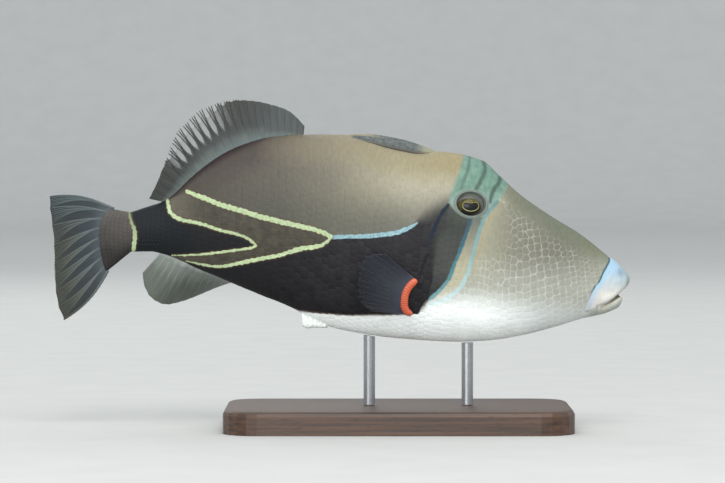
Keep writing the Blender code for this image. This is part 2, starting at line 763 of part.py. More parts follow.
def pectoral_route(side):
    """Route of a pectoral fin, laid back along the flank and standing a little off it at its margin."""
    root, tips = Curve(PECTORAL_ROOT), Curve(PECTORAL_TIPS)

    def route(place, t):
        end = tips(place)
        start = root(place)
        start = start + unit(start - end) * PECTORAL_BAR_HALF
        x, z = start + (end - start) * t
        skin, outward = flank(x, z, side)
        root_share = (1 - t) ** 2
        own_half = MEMBRANE_HALF + RIDGE * (1 - root_share)
        own_half += (PECTORAL_ROOT_HALF - MEMBRANE_HALF) * root_share
        off = GAP * 1.4 + own_half + PECTORAL_SPREAD * t**1.3
        return skin + vector(0, off / outward[1], 0)

    return route


def make_fins():
    dorsal = fin("dorsal_fin", median_route(DORSAL_RAYS, 1), ray_columns(DORSAL_RAY_COUNT), 5,
                 FIN_BASE_HALF, 0.06)
    finish(dorsal, material("dorsal_fin", (0.16, 0.17, 0.18), 0.5))
    anal = fin("anal_fin", median_route(ANAL_RAYS, -1), ray_columns(ANAL_RAY_COUNT), 5,
               FIN_BASE_HALF, 0.05)
    finish(anal, material("anal_fin", (0.42, 0.44, 0.42), 0.5))
    caudal = fin("caudal_fin", caudal_route, branched_columns(CAUDAL_RAY_COUNT), 6,
                 TAIL_BASE_END_HALF * 0.7, 0.03)
    finish(caudal, material("caudal_fin", (0.08, 0.09, 0.11), 0.5))
    made_of = material("pectoral_fin", (0.12, 0.12, 0.15), 0.5)
    for name, side in (("pectoral_fin_right", -1), ("pectoral_fin_left", 1)):
        pectoral = fin(name, pectoral_route(side), ray_columns(PECTORAL_RAY_COUNT), 6,
                       PECTORAL_ROOT_HALF, 0.03)
        finish(pectoral, made_of)


def make_stand():
    wood = material("stand_base", (0.09, 0.05, 0.03), 0.45)
    steel = material("stand_rod", (0.6, 0.6, 0.6), 0.3, 1.0)
    length, width, height = BASE_SIZE
    shape = bmesh.new()
    bmesh.ops.create_cube(shape, size=1.0)
    for vertex in shape.verts:
        vertex.co.x = (vertex.co.x * length + BASE_CENTRE_X) * MM
        vertex.co.y *= width * MM
        vertex.co.z = (vertex.co.z + 0.5) * height * MM
    upright = [edge for edge in shape.edges
               if abs(edge.verts[0].co.z - edge.verts[1].co.z) > height * MM / 2]
    bmesh.ops.bevel(shape, geom=upright, offset=BASE_CORNER * MM, segments=5, affect="EDGES", profile=0.5)
    top_rim = [edge for edge in shape.edges
               if all(abs(vertex.co.z - height * MM) < 1e-6 for vertex in edge.verts)]
    bmesh.ops.bevel(shape, geom=top_rim, offset=BASE_EDGE * MM, segments=2, affect="EDGES", profile=0.5)
    mesh = bpy.data.meshes.new("stand_base")
    shape.to_mesh(mesh)
    shape.free()
    obj = bpy.data.objects.new("stand_base", mesh)
    collection(COLLECTION).objects.link(obj)
    finish(obj, wood)
    for name, x in ROD_PLACES.items():
        foot, head = [], []
        for k in range(ROD_SIDES):
            angle = math.tau * k / ROD_SIDES
            px, py = x + ROD_RADIUS * math.cos(angle), ROD_RADIUS * math.sin(angle)
            foot.append(vector(px, py, height + GAP))
            head.append(vector(px, py, BELLY(px) - GAP))
        finish(loft(name, [foot, head]), steel)


def main():
    for obj in list(bpy.data.objects):
        bpy.data.objects.remove(obj)
    skin = material("skin", (0.3, 0.28, 0.24), 0.5)
    make_head(skin)
    make_eyes()
    make_trunk(skin)
    make_peduncle(skin)
    make_tail_base(skin)
    make_lips()
    make_first_dorsal()
    make_fins()
    make_pelvic_terminus()
    make_stand()


main()
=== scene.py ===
"""Looks of the reef triggerfish model: skin, scales, fins, eyes and stand, in soft studio light.

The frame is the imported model's: +X to the snout, +Y to the fish's left, +Z up, the origin on the floor.
Lengths are millimetres until a mesh is made, which is in metres. Places read from the photograph are
pixels of its side view, and side_place turns them into x and z.
"""

import math

import bpy
import numpy as np
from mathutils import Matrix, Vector


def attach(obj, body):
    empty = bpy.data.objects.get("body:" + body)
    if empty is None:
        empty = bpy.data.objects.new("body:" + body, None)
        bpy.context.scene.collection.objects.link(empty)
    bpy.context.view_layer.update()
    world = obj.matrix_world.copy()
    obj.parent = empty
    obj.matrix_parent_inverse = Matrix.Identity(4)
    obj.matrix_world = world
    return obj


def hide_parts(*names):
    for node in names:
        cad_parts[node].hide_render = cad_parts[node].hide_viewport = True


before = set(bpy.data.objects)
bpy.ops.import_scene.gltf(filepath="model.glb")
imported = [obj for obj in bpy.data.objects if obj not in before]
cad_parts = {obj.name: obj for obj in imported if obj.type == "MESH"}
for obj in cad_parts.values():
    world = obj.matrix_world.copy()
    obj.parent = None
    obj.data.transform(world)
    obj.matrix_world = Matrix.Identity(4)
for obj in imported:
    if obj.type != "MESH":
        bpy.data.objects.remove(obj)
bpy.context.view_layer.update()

MM = 0.001
MIRROR = np.array([1.0, -1.0, 1.0])

# The photograph's side view: millimetres in a pixel, and the pixel of a known place
PIXEL = 0.34662
PIXEL_ORIGIN = (340.5, 342.0)
ORIGIN_HEIGHT = 30.0
IMAGE_SIZE = (725, 483)

# Body, as in the solids
TAIL_ROOT_X = -72.6
LIP_ROOT_X = 93.1
BACK_LINE = (
    (-72.6, 75.1), (-66.0, 77.3), (-61.5, 78.8), (-57.7, 81.4), (-52.2, 86.7), (-45.2, 92.4), (-38.3, 96.6),
    (-31.4, 99.3), (-24.4, 101.1), (-13.0, 102.0), (0.5, 102.0), (8.5, 100.0), (18.9, 97.0), (28.0, 95.6),
    (33.1, 96.2), (38.6, 95.7), (49.4, 92.9), (55.3, 87.6), (62.2, 81.3), (72.6, 74.0), (83.0, 67.6),
    (93.1, 59.6),
)
BELLY_LINE = (
    (-72.6, 61.2), (-66.0, 61.3), (-60.8, 60.2), (-48.7, 55.0), (-27.9, 46.3), (-17.5, 42.1), (-10.6, 38.3),
    (-3.6, 35.2), (3.3, 33.6), (20.0, 31.2), (41.4, 30.0), (51.8, 30.5), (62.2, 32.1), (72.6, 34.7),
    (83.4, 38.0),
)
SECTION_FOOT = ((-72.6, -72.6), (-10.0, -10.0), (38.6, 29.6), (93.1, 83.4))
HALF_WIDTH = (
    (-72.6, 3.1), (-62.0, 4.2), (-48.7, 7.2), (-31.4, 10.8), (-14.0, 13.5), (3.3, 15.1), (20.6, 15.8),
    (34.5, 15.6), (44.9, 14.6), (58.7, 12.6), (72.6, 10.2), (86.5, 7.5), (93.1, 6.2),
)
WIDEST_LEVEL = ((-72.6, 0.0), (-30.0, 0.04), (10.0, 0.0), (35.0, -0.1), (60.0, -0.18), (93.1, -0.1))
BACK_ROUNDING = (2.2, 2.0)
BELLY_ROUNDING = (1.9, 1.6)
SKIN_SINK = 0.1
MIDDLE_SMOOTHING = 9

# Skin mesh: stations along it, steps up each side, and where both stand closer together
TAIL_STATIONS = 18
BODY_STEP = 0.62
EYE_SPAN = (38.0, 61.0)
EYE_STEP = 0.36
LIP_STATIONS = 42
RING_STEPS = 120
EYE_SHARE = 0.73
EYE_SHARE_HALF = 0.12
EYE_CROWDING = 0.9

# Ends of the skin, as in the solids: the tail base's arc, and the front edge of the lips in pixels
TAIL_ARC = (
    (0.0, -79.3, 76.2), (0.12, -81.6, 74.4), (0.25, -83.0, 71.4), (0.42, -83.5, 67.1), (0.62, -83.1, 62.2),
    (0.82, -82.3, 57.7), (1.0, -81.2, 54.2),
)
TAIL_REAR = (
    (0.0, -101.6, 79.6), (0.06, -101.5, 77.0), (0.2, -100.9, 72.3), (0.4, -100.0, 64.4), (0.6, -99.8, 56.5),
    (0.8, -99.6, 48.4), (0.93, -98.7, 42.0), (1.0, -97.0, 37.8),
)
TAIL_BASE_END_HALF = 1.4
TAIL_EDGE_BULGE = (2.4, 2.2)
TAIL_SWEEP = 8.0
LIP_FRONT_PIXELS = (
    (602, 314.5), (610, 311.5), (616, 309), (620, 306), (621.6, 302), (622, 298), (621, 294.5),
    (623.5, 289), (627, 283.5), (629, 278), (627, 273), (622, 268), (617, 263),
)
LIP_CLOSING = (2.6, 0.55)
LIP_REACH = 8.0

# Fins, as in the solids: base place, ray length, lean back and lean to the left, in degrees
DORSAL_RAYS = (
    (-13.0, 3.0, -8.0, 0.0), (-18.2, 8.5, 0.0, 2.0), (-22.7, 11.2, 8.0, 5.0), (-27.6, 13.6, 12.0, 8.0),
    (-32.4, 15.7, 17.0, 9.0), (-37.3, 17.1, 25.0, 7.0), (-42.1, 16.6, 33.0, 3.0), (-47.0, 15.2, 38.5, -3.0),
    (-51.8, 11.4, 45.0, -7.0), (-56.7, 7.6, 58.0, -8.0), (-61.5, 4.9, 78.0, -5.0),
)
ANAL_RAYS = (
    (-22.7, 5.0, 35.0, 97.0), (-30.0, 11.0, 35.0, 95.0), (-36.2, 14.5, 34.0, 89.0),
    (-40.0, 16.2, 31.0, 77.0), (-43.5, 17.2, 29.0, 64.0), (-47.0, 17.6, 28.0, 50.0),
    (-50.4, 17.6, 27.0, 36.0), (-53.9, 17.4, 28.0, 18.0), (-57.4, 16.3, 31.0, 8.0),
    (-60.2, 13.5, 35.0, 4.0), (-62.4, 9.3, 42.0, 2.0),
)
ANAL_SIDESTEP = 1.5
PECTORAL_ROOT = (
    (0.0, 25.9, 51.9), (0.17, 24.1, 50.1), (0.38, 22.6, 47.7), (0.58, 22.1, 45.2), (0.78, 22.2, 42.7),
    (0.92, 22.9, 40.9), (1.0, 23.9, 40.0),
)
PECTORAL_TIPS = (
    (0.0, 15.2, 61.3), (0.1, 10.8, 61.1), (0.25, 7.4, 58.6), (0.45, 6.0, 53.6), (0.65, 5.7, 48.9),
    (0.82, 6.6, 44.6), (1.0, 10.4, 41.2),
)
PECTORAL_SPREAD = 2.2
PECTORAL_LIFT = 0.9
# Places of the rays along each fin, at its root and at its margin
RAY_PLACES = {
    "dorsal": np.tile(np.linspace(0, 1, 24), (2, 1)),
    "anal": np.tile(np.linspace(0, 1, 21), (2, 1)),
    "caudal": np.array([
        [0.0, 0.09, 0.2, 0.32, 0.45, 0.59, 0.74, 0.89, 1.0],
        [0.0, 0.1, 0.27, 0.44, 0.61, 0.72, 0.83, 0.93, 1.0],
    ]),
    "pectoral": np.tile(np.linspace(0, 1, 13), (2, 1)),
}
RAY_SIDES = 6
RAY_STEPS = 24
# How a ray forks: parent branch, where it forks off, its place at the margin in ray spacings, its thickness
BRANCHES = ((-1, 0.0, -0.3, 1.0), (0, 0.3, 0.3, 0.9), (0, 0.5, -0.02, 0.8))
PECTORAL_BRANCHES = ((-1, 0.0, -0.12, 1.0), (0, 0.6, 0.18, 0.7))
CAUDAL_BRANCHES = (
    (-1, 0.0, -0.05, 1.0), (0, 0.1, 0.38, 0.75), (0, 0.22, 0.12, 0.65), (1, 0.2, 0.68, 0.7),
    (1, 0.35, 0.25, 0.6), (3, 0.4, 0.53, 0.6), (3, 0.5, 0.82, 0.6),
)
MEMBRANE_HALF = (0.13, 0.05)
MEMBRANE_ROOT_HALF = 0.45
MEMBRANE_EDGE = 0.35
MEMBRANE_COLUMNS = 12
MEMBRANE_ROWS = 34
STREAKS = 90.0
# Places along a fin where the gaps between its rays' tips come in and go out; a fin without takes NO_GAPS
DORSAL_GAPS = (0.38, 0.56, 0.76, 0.87)
NO_GAPS = (2.0, 3.0, 4.0, 5.0)
# The bar along the pectoral fin's root: its line, half width and height, how far it stands off, and its ribs
BAR_LINE = (
    (0.0, 26.2, 52.4), (0.16, 24.3, 50.8), (0.35, 22.7, 48.4), (0.52, 22.1, 46.1), (0.7, 22.0, 43.8),
    (0.84, 22.6, 42.0), (0.93, 23.6, 41.1), (1.0, 24.8, 40.7),
)
BAR_HALF = (1.4, 1.0)
BAR_STANDS_OFF = 0.85
BAR_RIBS = 17
FIN_ROOT_SINK = 0.8
RAY_SEED = 5
# How unevenly long the rays are, how far their joints swell, and how thick their ends stay
RAY_UNEVENNESS = 0.01
RAY_JOINTS = 0.06
RAY_POINT = 0.4

# Folded first dorsal fin: place and height of its upper edge
FOLDED_FIN_TOP = (
    (2.8, 101.9), (6.8, 102.2), (10.2, 102.1), (13.7, 101.7), (17.2, 101.1), (20.6, 100.4), (24.1, 99.5),
    (27.6, 98.3), (31.0, 97.0), (33.0, 95.9),
)
FOLDED_FIN_HALF = 1.5
FOLDED_FIN_SINK = 1.4
# Share of the half width up its side, and the depth and number of its folds
FOLDED_PROFILE = ((0, 0.2, 0.45, 0.75, 0.92, 1.0), (0.7, 1.0, 0.98, 0.78, 0.5, 0.0))
FOLDS = (0.03, 26.0)
# Its trough: half width, depth and the floor's half width, and where it comes in and goes out
TROUGH = (2.6, 0.4, 0.8)
TROUGH_ENDS = ((1.0, 5.0), (32.5, 29.5))

# Pelvic knob: place and height of its underside
KNOB_FOOT = ((-13.6, 37.6), (-13.2, 35.6), (-11.5, 34.7), (-9.0, 35.0), (-6.4, 34.9), (-4.4, 34.9))
KNOB_HALF = 1.6
# How far its rows of scales stand out, and how many they are
KNOB_STEPS = (0.14, 6)

# Eye: its place on the flank, the eyeball, the orbit's rim, and the iris and pupil in the eye's own plane
EYE_PLACE = (44.95, 78.1)
EYE_HALF = (5.25, 4.35, 3.3)
EYE_SINK = 2.2
ORBIT_RADII = (5.4, 4.45)
ORBIT_REACH = 1.9
SOCKET_DEPTH = 2.2
SOCKET_EDGE = (-0.2, -1.2)
IRIS_CENTRE = (-0.85, -1.1)
IRIS_RADII = (4.1, 2.7)
PUPIL_CENTRE = (-0.35, -0.85)
PUPIL_RADII = (2.65, 1.75)
PUPIL_BROW = (0.62, 0.35, 0.9)
CORNEA = (0.2, 0.1)
NOSTRILS = ((55.4, 79.3, 0.08), (56.5, 78.5, 0.14))
NOSTRIL_DEPTH = 0.25
NOSTRIL_RIM = (0.12, 1.7, 0.25)

# Relief of the skin, as rows of height, distance from the middle of the form, and half width
ORBIT_RELIEF = ((0.34, 0.0, 0.34), (-0.18, 1.5, 0.6))
GILL_RELIEF = ((0.15, 0.8, 0.6), (-0.45, 0.0, 0.35))
CREASE_RELIEF = ((-0.22, 0.0, 0.4),)
LIP_RELIEF = ((0.35, -1.6, 1.3), (-0.55, 0.5, 0.7), (0.2, 2.4, 0.8))
MOUTH_RELIEF = ((-0.7, 0.0, 0.3),)
LIP_SWELLING = 0.28
# Where the lips' relief comes in, and the height above which a point is on the back
LIPS_COME_IN = (89.2, 92.0)
BACK_ABOVE = 80.0

# Scales: size along the body, lean of their columns, height over width, the gap between two, one's shape
SCALE_PITCH = (
    (-84.0, 1.3), (-72.0, 1.5), (-60.0, 1.9), (-40.0, 2.4), (0.0, 2.7), (38.0, 2.7), (45.0, 2.4),
    (49.5, 1.5), (58.0, 1.6), (64.0, 2.3), (74.0, 2.5), (85.0, 1.9), (95.0, 1.3),
)
SCALE_LEAN = ((-84.0, 0.0), (40.0, 0.0), (60.0, -0.1), (75.0, -0.3), (95.0, -0.45))
SCALE_ASPECT = ((-84.0, 0.9), (45.0, 0.9), (49.5, 1.6), (58.0, 1.55), (66.0, 1.05), (95.0, 1.0))
# How far each column of scales stands above the one behind it, as a share of a scale
SCALE_STAGGER = ((-84.0, 0.5), (44.0, 0.5), (50.0, 0.2), (58.0, 0.22), (70.0, 0.34), (95.0, 0.4))
SCALE_JITTER = ((-84.0, 0.05), (45.0, 0.05), (58.0, 0.09), (66.0, 0.11), (95.0, 0.1))
SCALE_GROOVE = ((-84.0, 0.06), (44.0, 0.07), (54.0, 0.08), (95.0, 0.09))
SCALE_RINGS = ((0.45, 0.045), (0.74, 0.036), (0.9, 0.015), (1.0, -0.03))
SCALE_CORNERS = 16
SCALE_NEIGHBOURS = 12
SCALE_ROUNDING = 10
SCALE_PULL = 0.12
SCALE_FARTHEST = 0.95
SCALE_SEED = 11
# How unevenly the scales tilt, and how far their rear edges stand up
SCALE_TILT = (0.007, 0.01)
# How much of a scale counts as edge above and below, and what is added before and behind: flank, then cheek
CELL_EDGE = ((0.87, 0.13), (-0.06, 0.1))
SKIN_CELL = 0.92
# Where no scales sit: near the lips and nostrils, round the orbit, ahead on the snout, and over the
# half width and span of the trough
BARE_LIP, BARE_NOSTRIL, BARE_ORBIT, BARE_SNOUT = 0.6, 0.9, 1.3, 90.5
BARE_TROUGH = (2.4, 2.0, 34.0)
BAKE_PATCH = 0.003

# Markings of the side, in pixels: centre lines as x, y and width
UPPER_LINE = (
    (187, 191.5, 3.6), (200, 196.5, 4.4), (220, 204.5, 4.8), (240, 210.5, 5), (260, 216.5, 5),
    (280, 221.7, 5), (300, 226.2, 4.8), (318, 230.6, 4.6), (331, 236.6, 4),
)
LOWER_LINE = (
    (331, 237, 3), (328, 240.6, 2.6), (324, 244, 3.2), (318, 246.3, 4), (300, 249, 4.2), (280, 255, 4),
    (260, 259, 3.8), (240, 263, 3.5), (225, 266, 3), (210, 266, 2.4), (186, 261, 1.2),
)
WEDGE_UPPER = (
    (167.5, 200, 2.4), (168.5, 206, 3.2), (171, 213, 3.8), (180, 219.3, 3.8), (200, 223.5, 3.6),
    (220, 230, 3.2), (240, 235, 2.8), (250, 240, 2.4), (256.5, 245.6, 1.8),
)
WEDGE_LOWER = (
    (256.5, 245.8, 1.8), (250, 248.3, 2.2), (240, 249.6, 2.5), (230, 251, 2.5), (200, 254.5, 1.9),
    (172, 255.5, 1),
)
CAUDAL_LINE = (
    (129, 210, 1.6), (130.2, 218, 2.2), (132.2, 224, 3), (134.5, 230, 3.8), (135, 238, 4), (134, 245, 4),
    (133.5, 249, 3.4), (133, 253, 2.4),
)
FLANK_BLUE = (
    (331, 237.2, 3.6), (350, 236.6, 4), (370, 236, 4), (390, 233.8, 4), (400, 231.6, 4), (409, 227.8, 3.6),
    (417.5, 223, 1.8),
)
PALE_LINES = (UPPER_LINE, LOWER_LINE, WEDGE_UPPER, WEDGE_LOWER, CAUDAL_LINE)
# Scallops of the pale lines: share of the half width, and length in millimetres
LINE_WOBBLE = (0.13, 1.9)
FACE_FIRST = (
    (448, 205, 3), (442, 213, 3.8), (437, 222, 3.8), (433, 232, 3.2), (431, 241, 1.8), (430, 250, 0.6),
)
FACE_SECOND = (
    (471, 217, 3.4), (468, 228, 3.6), (461, 248, 3.4), (453, 268, 3.4), (449, 279, 3.4), (440, 290, 3.4),
    (430, 299, 3.2),
)
FACE_THIRD = (
    (497, 202, 4), (485, 217, 4), (478, 236, 4), (472, 258, 4), (467, 275, 4.2), (459, 289, 4.6),
    (444, 300, 5), (428, 305, 5),
)
# The dark strip between the second and third line, down one and up the other
FACE_STRIP = tuple(row[:2] for row in (*FACE_SECOND, *FACE_THIRD[6:0:-1]))
CROWN_STRIPES = (
    ((470.5, 148, 3), (469, 164, 3.2), (467, 172, 3.4), (464, 180, 3.2), (461, 189, 2.4)),
    ((481, 154, 3.8), (484.5, 166, 3.8), (484.5, 172, 4), (480, 182, 4.2), (475, 191, 3.8)),
    ((501, 170, 3.8), (499, 182, 4.2), (493, 191, 4.2), (490, 202, 3.4)),
)
CROWN_BAND = (
    (464, 140), (463, 160), (459, 172), (454, 186), (449, 198), (449, 203), (456, 211), (471, 216),
    (486, 214), (492, 207), (502, 197), (508, 184), (511, 172), (490, 146),
)
TAIL_BLACK = (
    (131, 202), (150, 198), (167, 190), (168.5, 208), (171, 214), (180, 219.5), (200, 223.5), (220, 230),
    (240, 235), (250, 240), (256, 245.5), (250, 248.5), (230, 251), (200, 254.5), (172, 255.5), (165, 266),
    (133, 262), (134.5, 230),
)
FLANK_BLACK = (
    (186, 261), (210, 266), (225, 266), (240, 263), (260, 259), (280, 255), (300, 249), (320, 246),
    (329, 242), (333, 237.5), (370, 236.5), (390, 234), (400, 232), (409, 228), (417, 222), (430, 216),
    (440, 210), (448, 205), (442, 215), (437, 226), (434, 240), (433, 262), (433, 280), (428, 296),
    (418, 314), (400, 314.5), (350, 315.5), (310, 312.5), (293, 308.5), (288, 330), (186, 285),
)
WEDGE_BROWN = (
    (168, 200), (187, 191.5), (220, 204.5), (260, 216.5), (300, 226.5), (333, 237.5), (320, 246),
    (280, 255), (240, 263), (210, 266), (172, 256), (230, 251), (256, 245.5), (240, 235), (200, 223.5),
    (171, 214),
)
FACE_DARK = (
    (448, 205), (442, 213), (437, 222), (431, 234), (425, 244), (424, 262), (426, 282), (420, 304),
    *(row[:2] for row in FACE_SECOND[::-1]), (460, 212),
)
CHEEK = (
    (513, 165), (508, 184), (502, 197), (492, 206), (480, 214), (471, 216), (468, 228), (461, 248),
    (453, 268), (449, 279), (440, 290), (428, 300), (420, 350), (700, 350), (700, 165),
)
WHITE_EDGE = (
    (200, 330), (278, 322), (284, 306), (300, 311), (330, 314), (350, 315.5), (400, 314.5), (418, 313),
    (430, 303), (445, 299), (470, 298), (500, 303), (540, 308), (580, 311), (610, 318),
)
WHITE_SOFTNESS = ((200, 0.4), (415, 0.4), (440, 3.5), (480, 6.5), (610, 5.0))
LIP_EDGE = (
    (612, 246), (609, 256.5), (609.3, 261), (606, 267.5), (601, 278), (594, 288), (589.5, 298), (586, 307),
    (584.3, 310), (587.5, 313), (594, 311),
)
LIP_BAND = (
    (612, 256, 7), (609.8, 264, 7), (606, 272, 7), (601.5, 280.5, 6.5), (597, 288, 6), (593.5, 295, 5.5),
    (591, 302, 5), (587.5, 309, 4),
)
LIP_LINE = (
    (608.8, 256, 1.4), (609.3, 261, 1.7), (606, 267.5, 1.8), (602.5, 274, 1.8), (599.5, 281, 1.8),
    (594.5, 287.5, 1.7), (591.5, 293, 1.5), (589, 299, 1.2), (586.5, 305, 0.7),
)
MOUTH_LINE = ((600, 306.2), (606, 304.2), (610, 302), (614, 299), (618, 295.6), (621.3, 292.8), (628, 287))
SNOUT_CORNERS = ((660, 285), (660, 240))
# The dark wedge under the overhanging upper lip, ahead of the mouth's corner, is a painted shadow
MOUTH_SHADOW = ((603, 305.3, 0.6), (608, 303.4, 1.2), (613, 300.4, 2.2), (617.5, 297, 3), (621.8, 293.4, 3.4))
MOUTH_NOTCH = ((597, 304.5, 1.2), (597.3, 310, 1.0))
MOUTH_FOLD = ((599.2, 306, 1.3), (599.4, 311, 1.2))
DORSAL_EDGE = (
    (-62.0, 0.6), (-54.0, 1.4), (-44.0, 2.4), (-36.0, 2.2), (-28.0, 0.8), (-22.0, -0.8), (-13.0, -3.0),
)
GILL_SLIT = ((427.6, 255.4), (420.1, 279.7))

# Factor on the paints that makes them look under the lights as their display values say; the belly takes 1
SHADE = 0.66
# The camera's distance in millimetres and its tilt downwards
VIEW_DISTANCE = 1250.0
VIEW_TILT = math.radians(1.5)

# Peduncle spines: heights of their rows and places along them
SPINE_HEIGHTS = (69.6, 68.2, 66.8, 65.4, 64.0)
SPINE_SPAN = (-70.2, -62.6)
SPINE_PITCH = 1.15
SPINE_SIZE = (0.2, 0.75, 0.42)
SPINE_SINK = 0.15

# Lights: name, place in metres, size, power and tint
LIGHTS = (
    ("key", (0.15, -0.9, 1.1), 0.8, 12.0, (1.0, 0.985, 0.96)),
    ("low", (-0.1, -1.0, 0.1), 0.5, 6.0, (0.97, 0.99, 1.0)),
    ("back", (-0.3, 1.0, 0.9), 0.9, 4.5, (0.95, 0.98, 1.0)),
)
LIGHT_TARGET = (0.005, 0.0, 0.066)
SKY = ((0.9, 0.94, 1.0, 1.0), 1.3)
# The floor's width, near and far edge, and its turn up into a backdrop, in millimetres
FLOOR = (7000.0, -2500.0, 3000.0, 900.0, 4500.0)


class Curve:
    """A smooth curve through rows of (place, value, ...) that does not overshoot between two rows."""

    def __init__(self, rows):
        table = np.array(rows, float)
        self.place = table[:, 0]
        self.value = table[:, 1:]
        run = np.diff(self.place)[:, None]
        rise = np.diff(self.value, axis=0) / run
        self.slope = np.zeros_like(self.value)
        self.slope[0] = rise[0]
        self.slope[-1] = rise[-1]
        before, after = rise[:-1], rise[1:]
        same_way = before * after > 0
        total = np.where(same_way, before + after, 1.0)
        self.slope[1:-1] = np.where(same_way, 2 * before * after / total, 0.0)

    def __call__(self, place):
        place = np.clip(np.asarray(place, float), self.place[0], self.place[-1])
        i = np.clip(np.searchsorted(self.place, place, "right") - 1, 0, len(self.place) - 2)
        run = (self.place[i + 1] - self.place[i])[..., None]
        t = (place - self.place[i])[..., None] / run
        value = (
            (1 + 2 * t) * (1 - t) ** 2 * self.value[i]
            + t * (1 - t) ** 2 * run * self.slope[i]
            + t * t * (3 - 2 * t) * self.value[i + 1]
            + t * t * (t - 1) * run * self.slope[i + 1]
        )
        return value[..., 0] if value.shape[-1] == 1 else value


BACK = Curve(BACK_LINE)
BELLY = Curve(BELLY_LINE)
FOOT = Curve(SECTION_FOOT)
WIDTH = Curve(HALF_WIDTH)
WIDEST = Curve(WIDEST_LEVEL)
FOLDED_TOP = Curve(FOLDED_FIN_TOP)


def side_place(rows):
    """Side-view places, x and z in millimetres, of rows that start with a pixel's x and y."""
    table = np.array(rows, float)
    x = (table[..., 0] - PIXEL_ORIGIN[0]) * PIXEL
    z = ORIGIN_HEIGHT + (PIXEL_ORIGIN[1] - table[..., 1]) * PIXEL
    return np.stack([x, z], axis=-1)


def seen_places(points):
    """Side-view places at which the photo's viewpoint shows surface points of the flank."""
    middle = side_place([(IMAGE_SIZE[0] / 2, IMAGE_SIZE[1] / 2)])[0]
    near = np.abs(points[:, 1:2])
    places = middle + (points[:, [0, 2]] - middle) * (1 + near / VIEW_DISTANCE)
    places[:, 1] -= near[:, 0] * math.sin(VIEW_TILT)
    return places


def smooth(low, high, value):
    """Smooth step from 0 at low to 1 at high."""
    t = np.clip((value - low) / (high - low), 0, 1)
    return t * t * (3 - 2 * t)


def unit(v):
    return v / np.linalg.norm(v, axis=-1, keepdims=True)


def points_of(x, y, z):
    return np.stack(np.broadcast_arrays(x, y, z), axis=-1).astype(float)


def bell(value, middle, half):
    """Bell curve of height 1 over a middle."""
    return np.exp(-(((value - middle) / half) ** 2))


def relief(value, rows):
    """Sum of bell curves over a distance, from rows of height, middle and half width."""
    return sum(height * bell(value, middle, half) for height, middle, half in rows)


def run_along(line):
    """Distances along a line of points from its first."""
    return np.concatenate([[0], np.cumsum(np.linalg.norm(np.diff(line, axis=0), axis=1))])


def ring_angles(count):
    return np.arange(count) * math.tau / count


def rounded(level, widest):
    """Share of the half width at a level from -1 at the belly to 1 at the back."""
    above = level >= widest
    reach = np.where(above, 1 - widest, 1 + widest)
    p = np.where(above, BACK_ROUNDING[0], BELLY_ROUNDING[0])
    q = np.where(above, BACK_ROUNDING[1], BELLY_ROUNDING[1])
    share = np.minimum(np.abs(level - widest) / reach, 1.0)
    return (1 - share**p) ** (1 / q)


def body_points(u, level, side=-1):
    """Points of the body's surface at sections u and levels."""
    foot = FOOT(u)
    back, belly = BACK(u), BELLY(foot)
    x = (u + foot) / 2 + (u - foot) / 2 * level
    z = (back + belly) / 2 + (back - belly) / 2 * level
    return points_of(x, side * WIDTH(u) * rounded(level, WIDEST(u)), z)


def sections_at(x, z):
    """Section place and level of the flank's points that are seen at x, z from the side."""
    low = np.full(np.shape(x), TAIL_ROOT_X)
    high = np.full(np.shape(x), LIP_ROOT_X)
    for _ in range(40):
        u = (low + high) / 2
        foot = FOOT(u)
        across = (z - BELLY(foot)) / (BACK(u) - BELLY(foot))
        behind = foot + (u - foot) * across < x
        low, high = np.where(behind, u, low), np.where(behind, high, u)
    return u, np.clip(2 * across - 1, -0.999, 0.999)


def flank(x, z, side):
    """Surface points and outward normals of the flank at x, z."""
    u, level = sections_at(np.asarray(x, float), np.asarray(z, float))
    step = 0.01
    point = body_points(u, level, side)
    along = body_points(u + step, level, side) - point
    upward = body_points(u, np.minimum(level + step, 0.9999), side) - point
    normal = unit(np.cross(along, upward))
    return point, normal * np.where(normal[..., 1:2] * side > 0, 1, -1)


def underside(x, y):
    """Height of the body's underside, y off its middle, where its sections stand upright."""
    p, q = BELLY_ROUNDING
    share = (1 - (np.abs(y) / WIDTH(x)) ** q) ** (1 / p)
    level = WIDEST(x) - (1 + WIDEST(x)) * share
    return (BACK(x) + BELLY(x)) / 2 + (BACK(x) - BELLY(x)) / 2 * level


def curve_through(rows, steps=5):
    """Rows joined by a smooth curve, with steps between two rows."""
    rows = np.array(rows, float)
    padded = np.vstack([2 * rows[0] - rows[1], rows, 2 * rows[-1] - rows[-2]])
    out = []
    for a, b, c, d in zip(padded[:-3], padded[1:-2], padded[2:-1], padded[3:]):
        for s in np.arange(steps) / steps:
            cubic = (-a + 3 * b - 3 * c + d) * s**3 + (2 * a - 5 * b + 4 * c - d) * s**2 + (c - a) * s + 2 * b
            out.append(cubic / 2)
    return np.array([*out, rows[-1]])


def distance(places, line, half=0.0, wobble=(0.0, 1.0), far=8.0):
    """Distance from places to a line of x, z points, less its half width, which may wobble along it."""
    best = np.full(len(places), far)
    low, high = line.min(axis=0) - far, line.max(axis=0) + far
    near = np.flatnonzero(((places > low) & (places < high)).all(axis=1))
    close, best_close, arc = places[near], best[near], 0.0
    half = np.broadcast_to(half, len(line))
    for start, end, first, last in zip(line[:-1], line[1:], half[:-1], half[1:]):
        run = end - start
        length = math.hypot(*run)
        share = np.clip(((close - start) @ run) / length**2, 0, 1)
        off = np.hypot(*(close - start - share[:, None] * run).T)
        reach = first + (last - first) * share
        reach *= 1 + wobble[0] * np.sin((arc + share * length) * math.tau / wobble[1])
        np.minimum(best_close, off - reach, out=best_close)
        arc += length
    best[near] = best_close
    return best


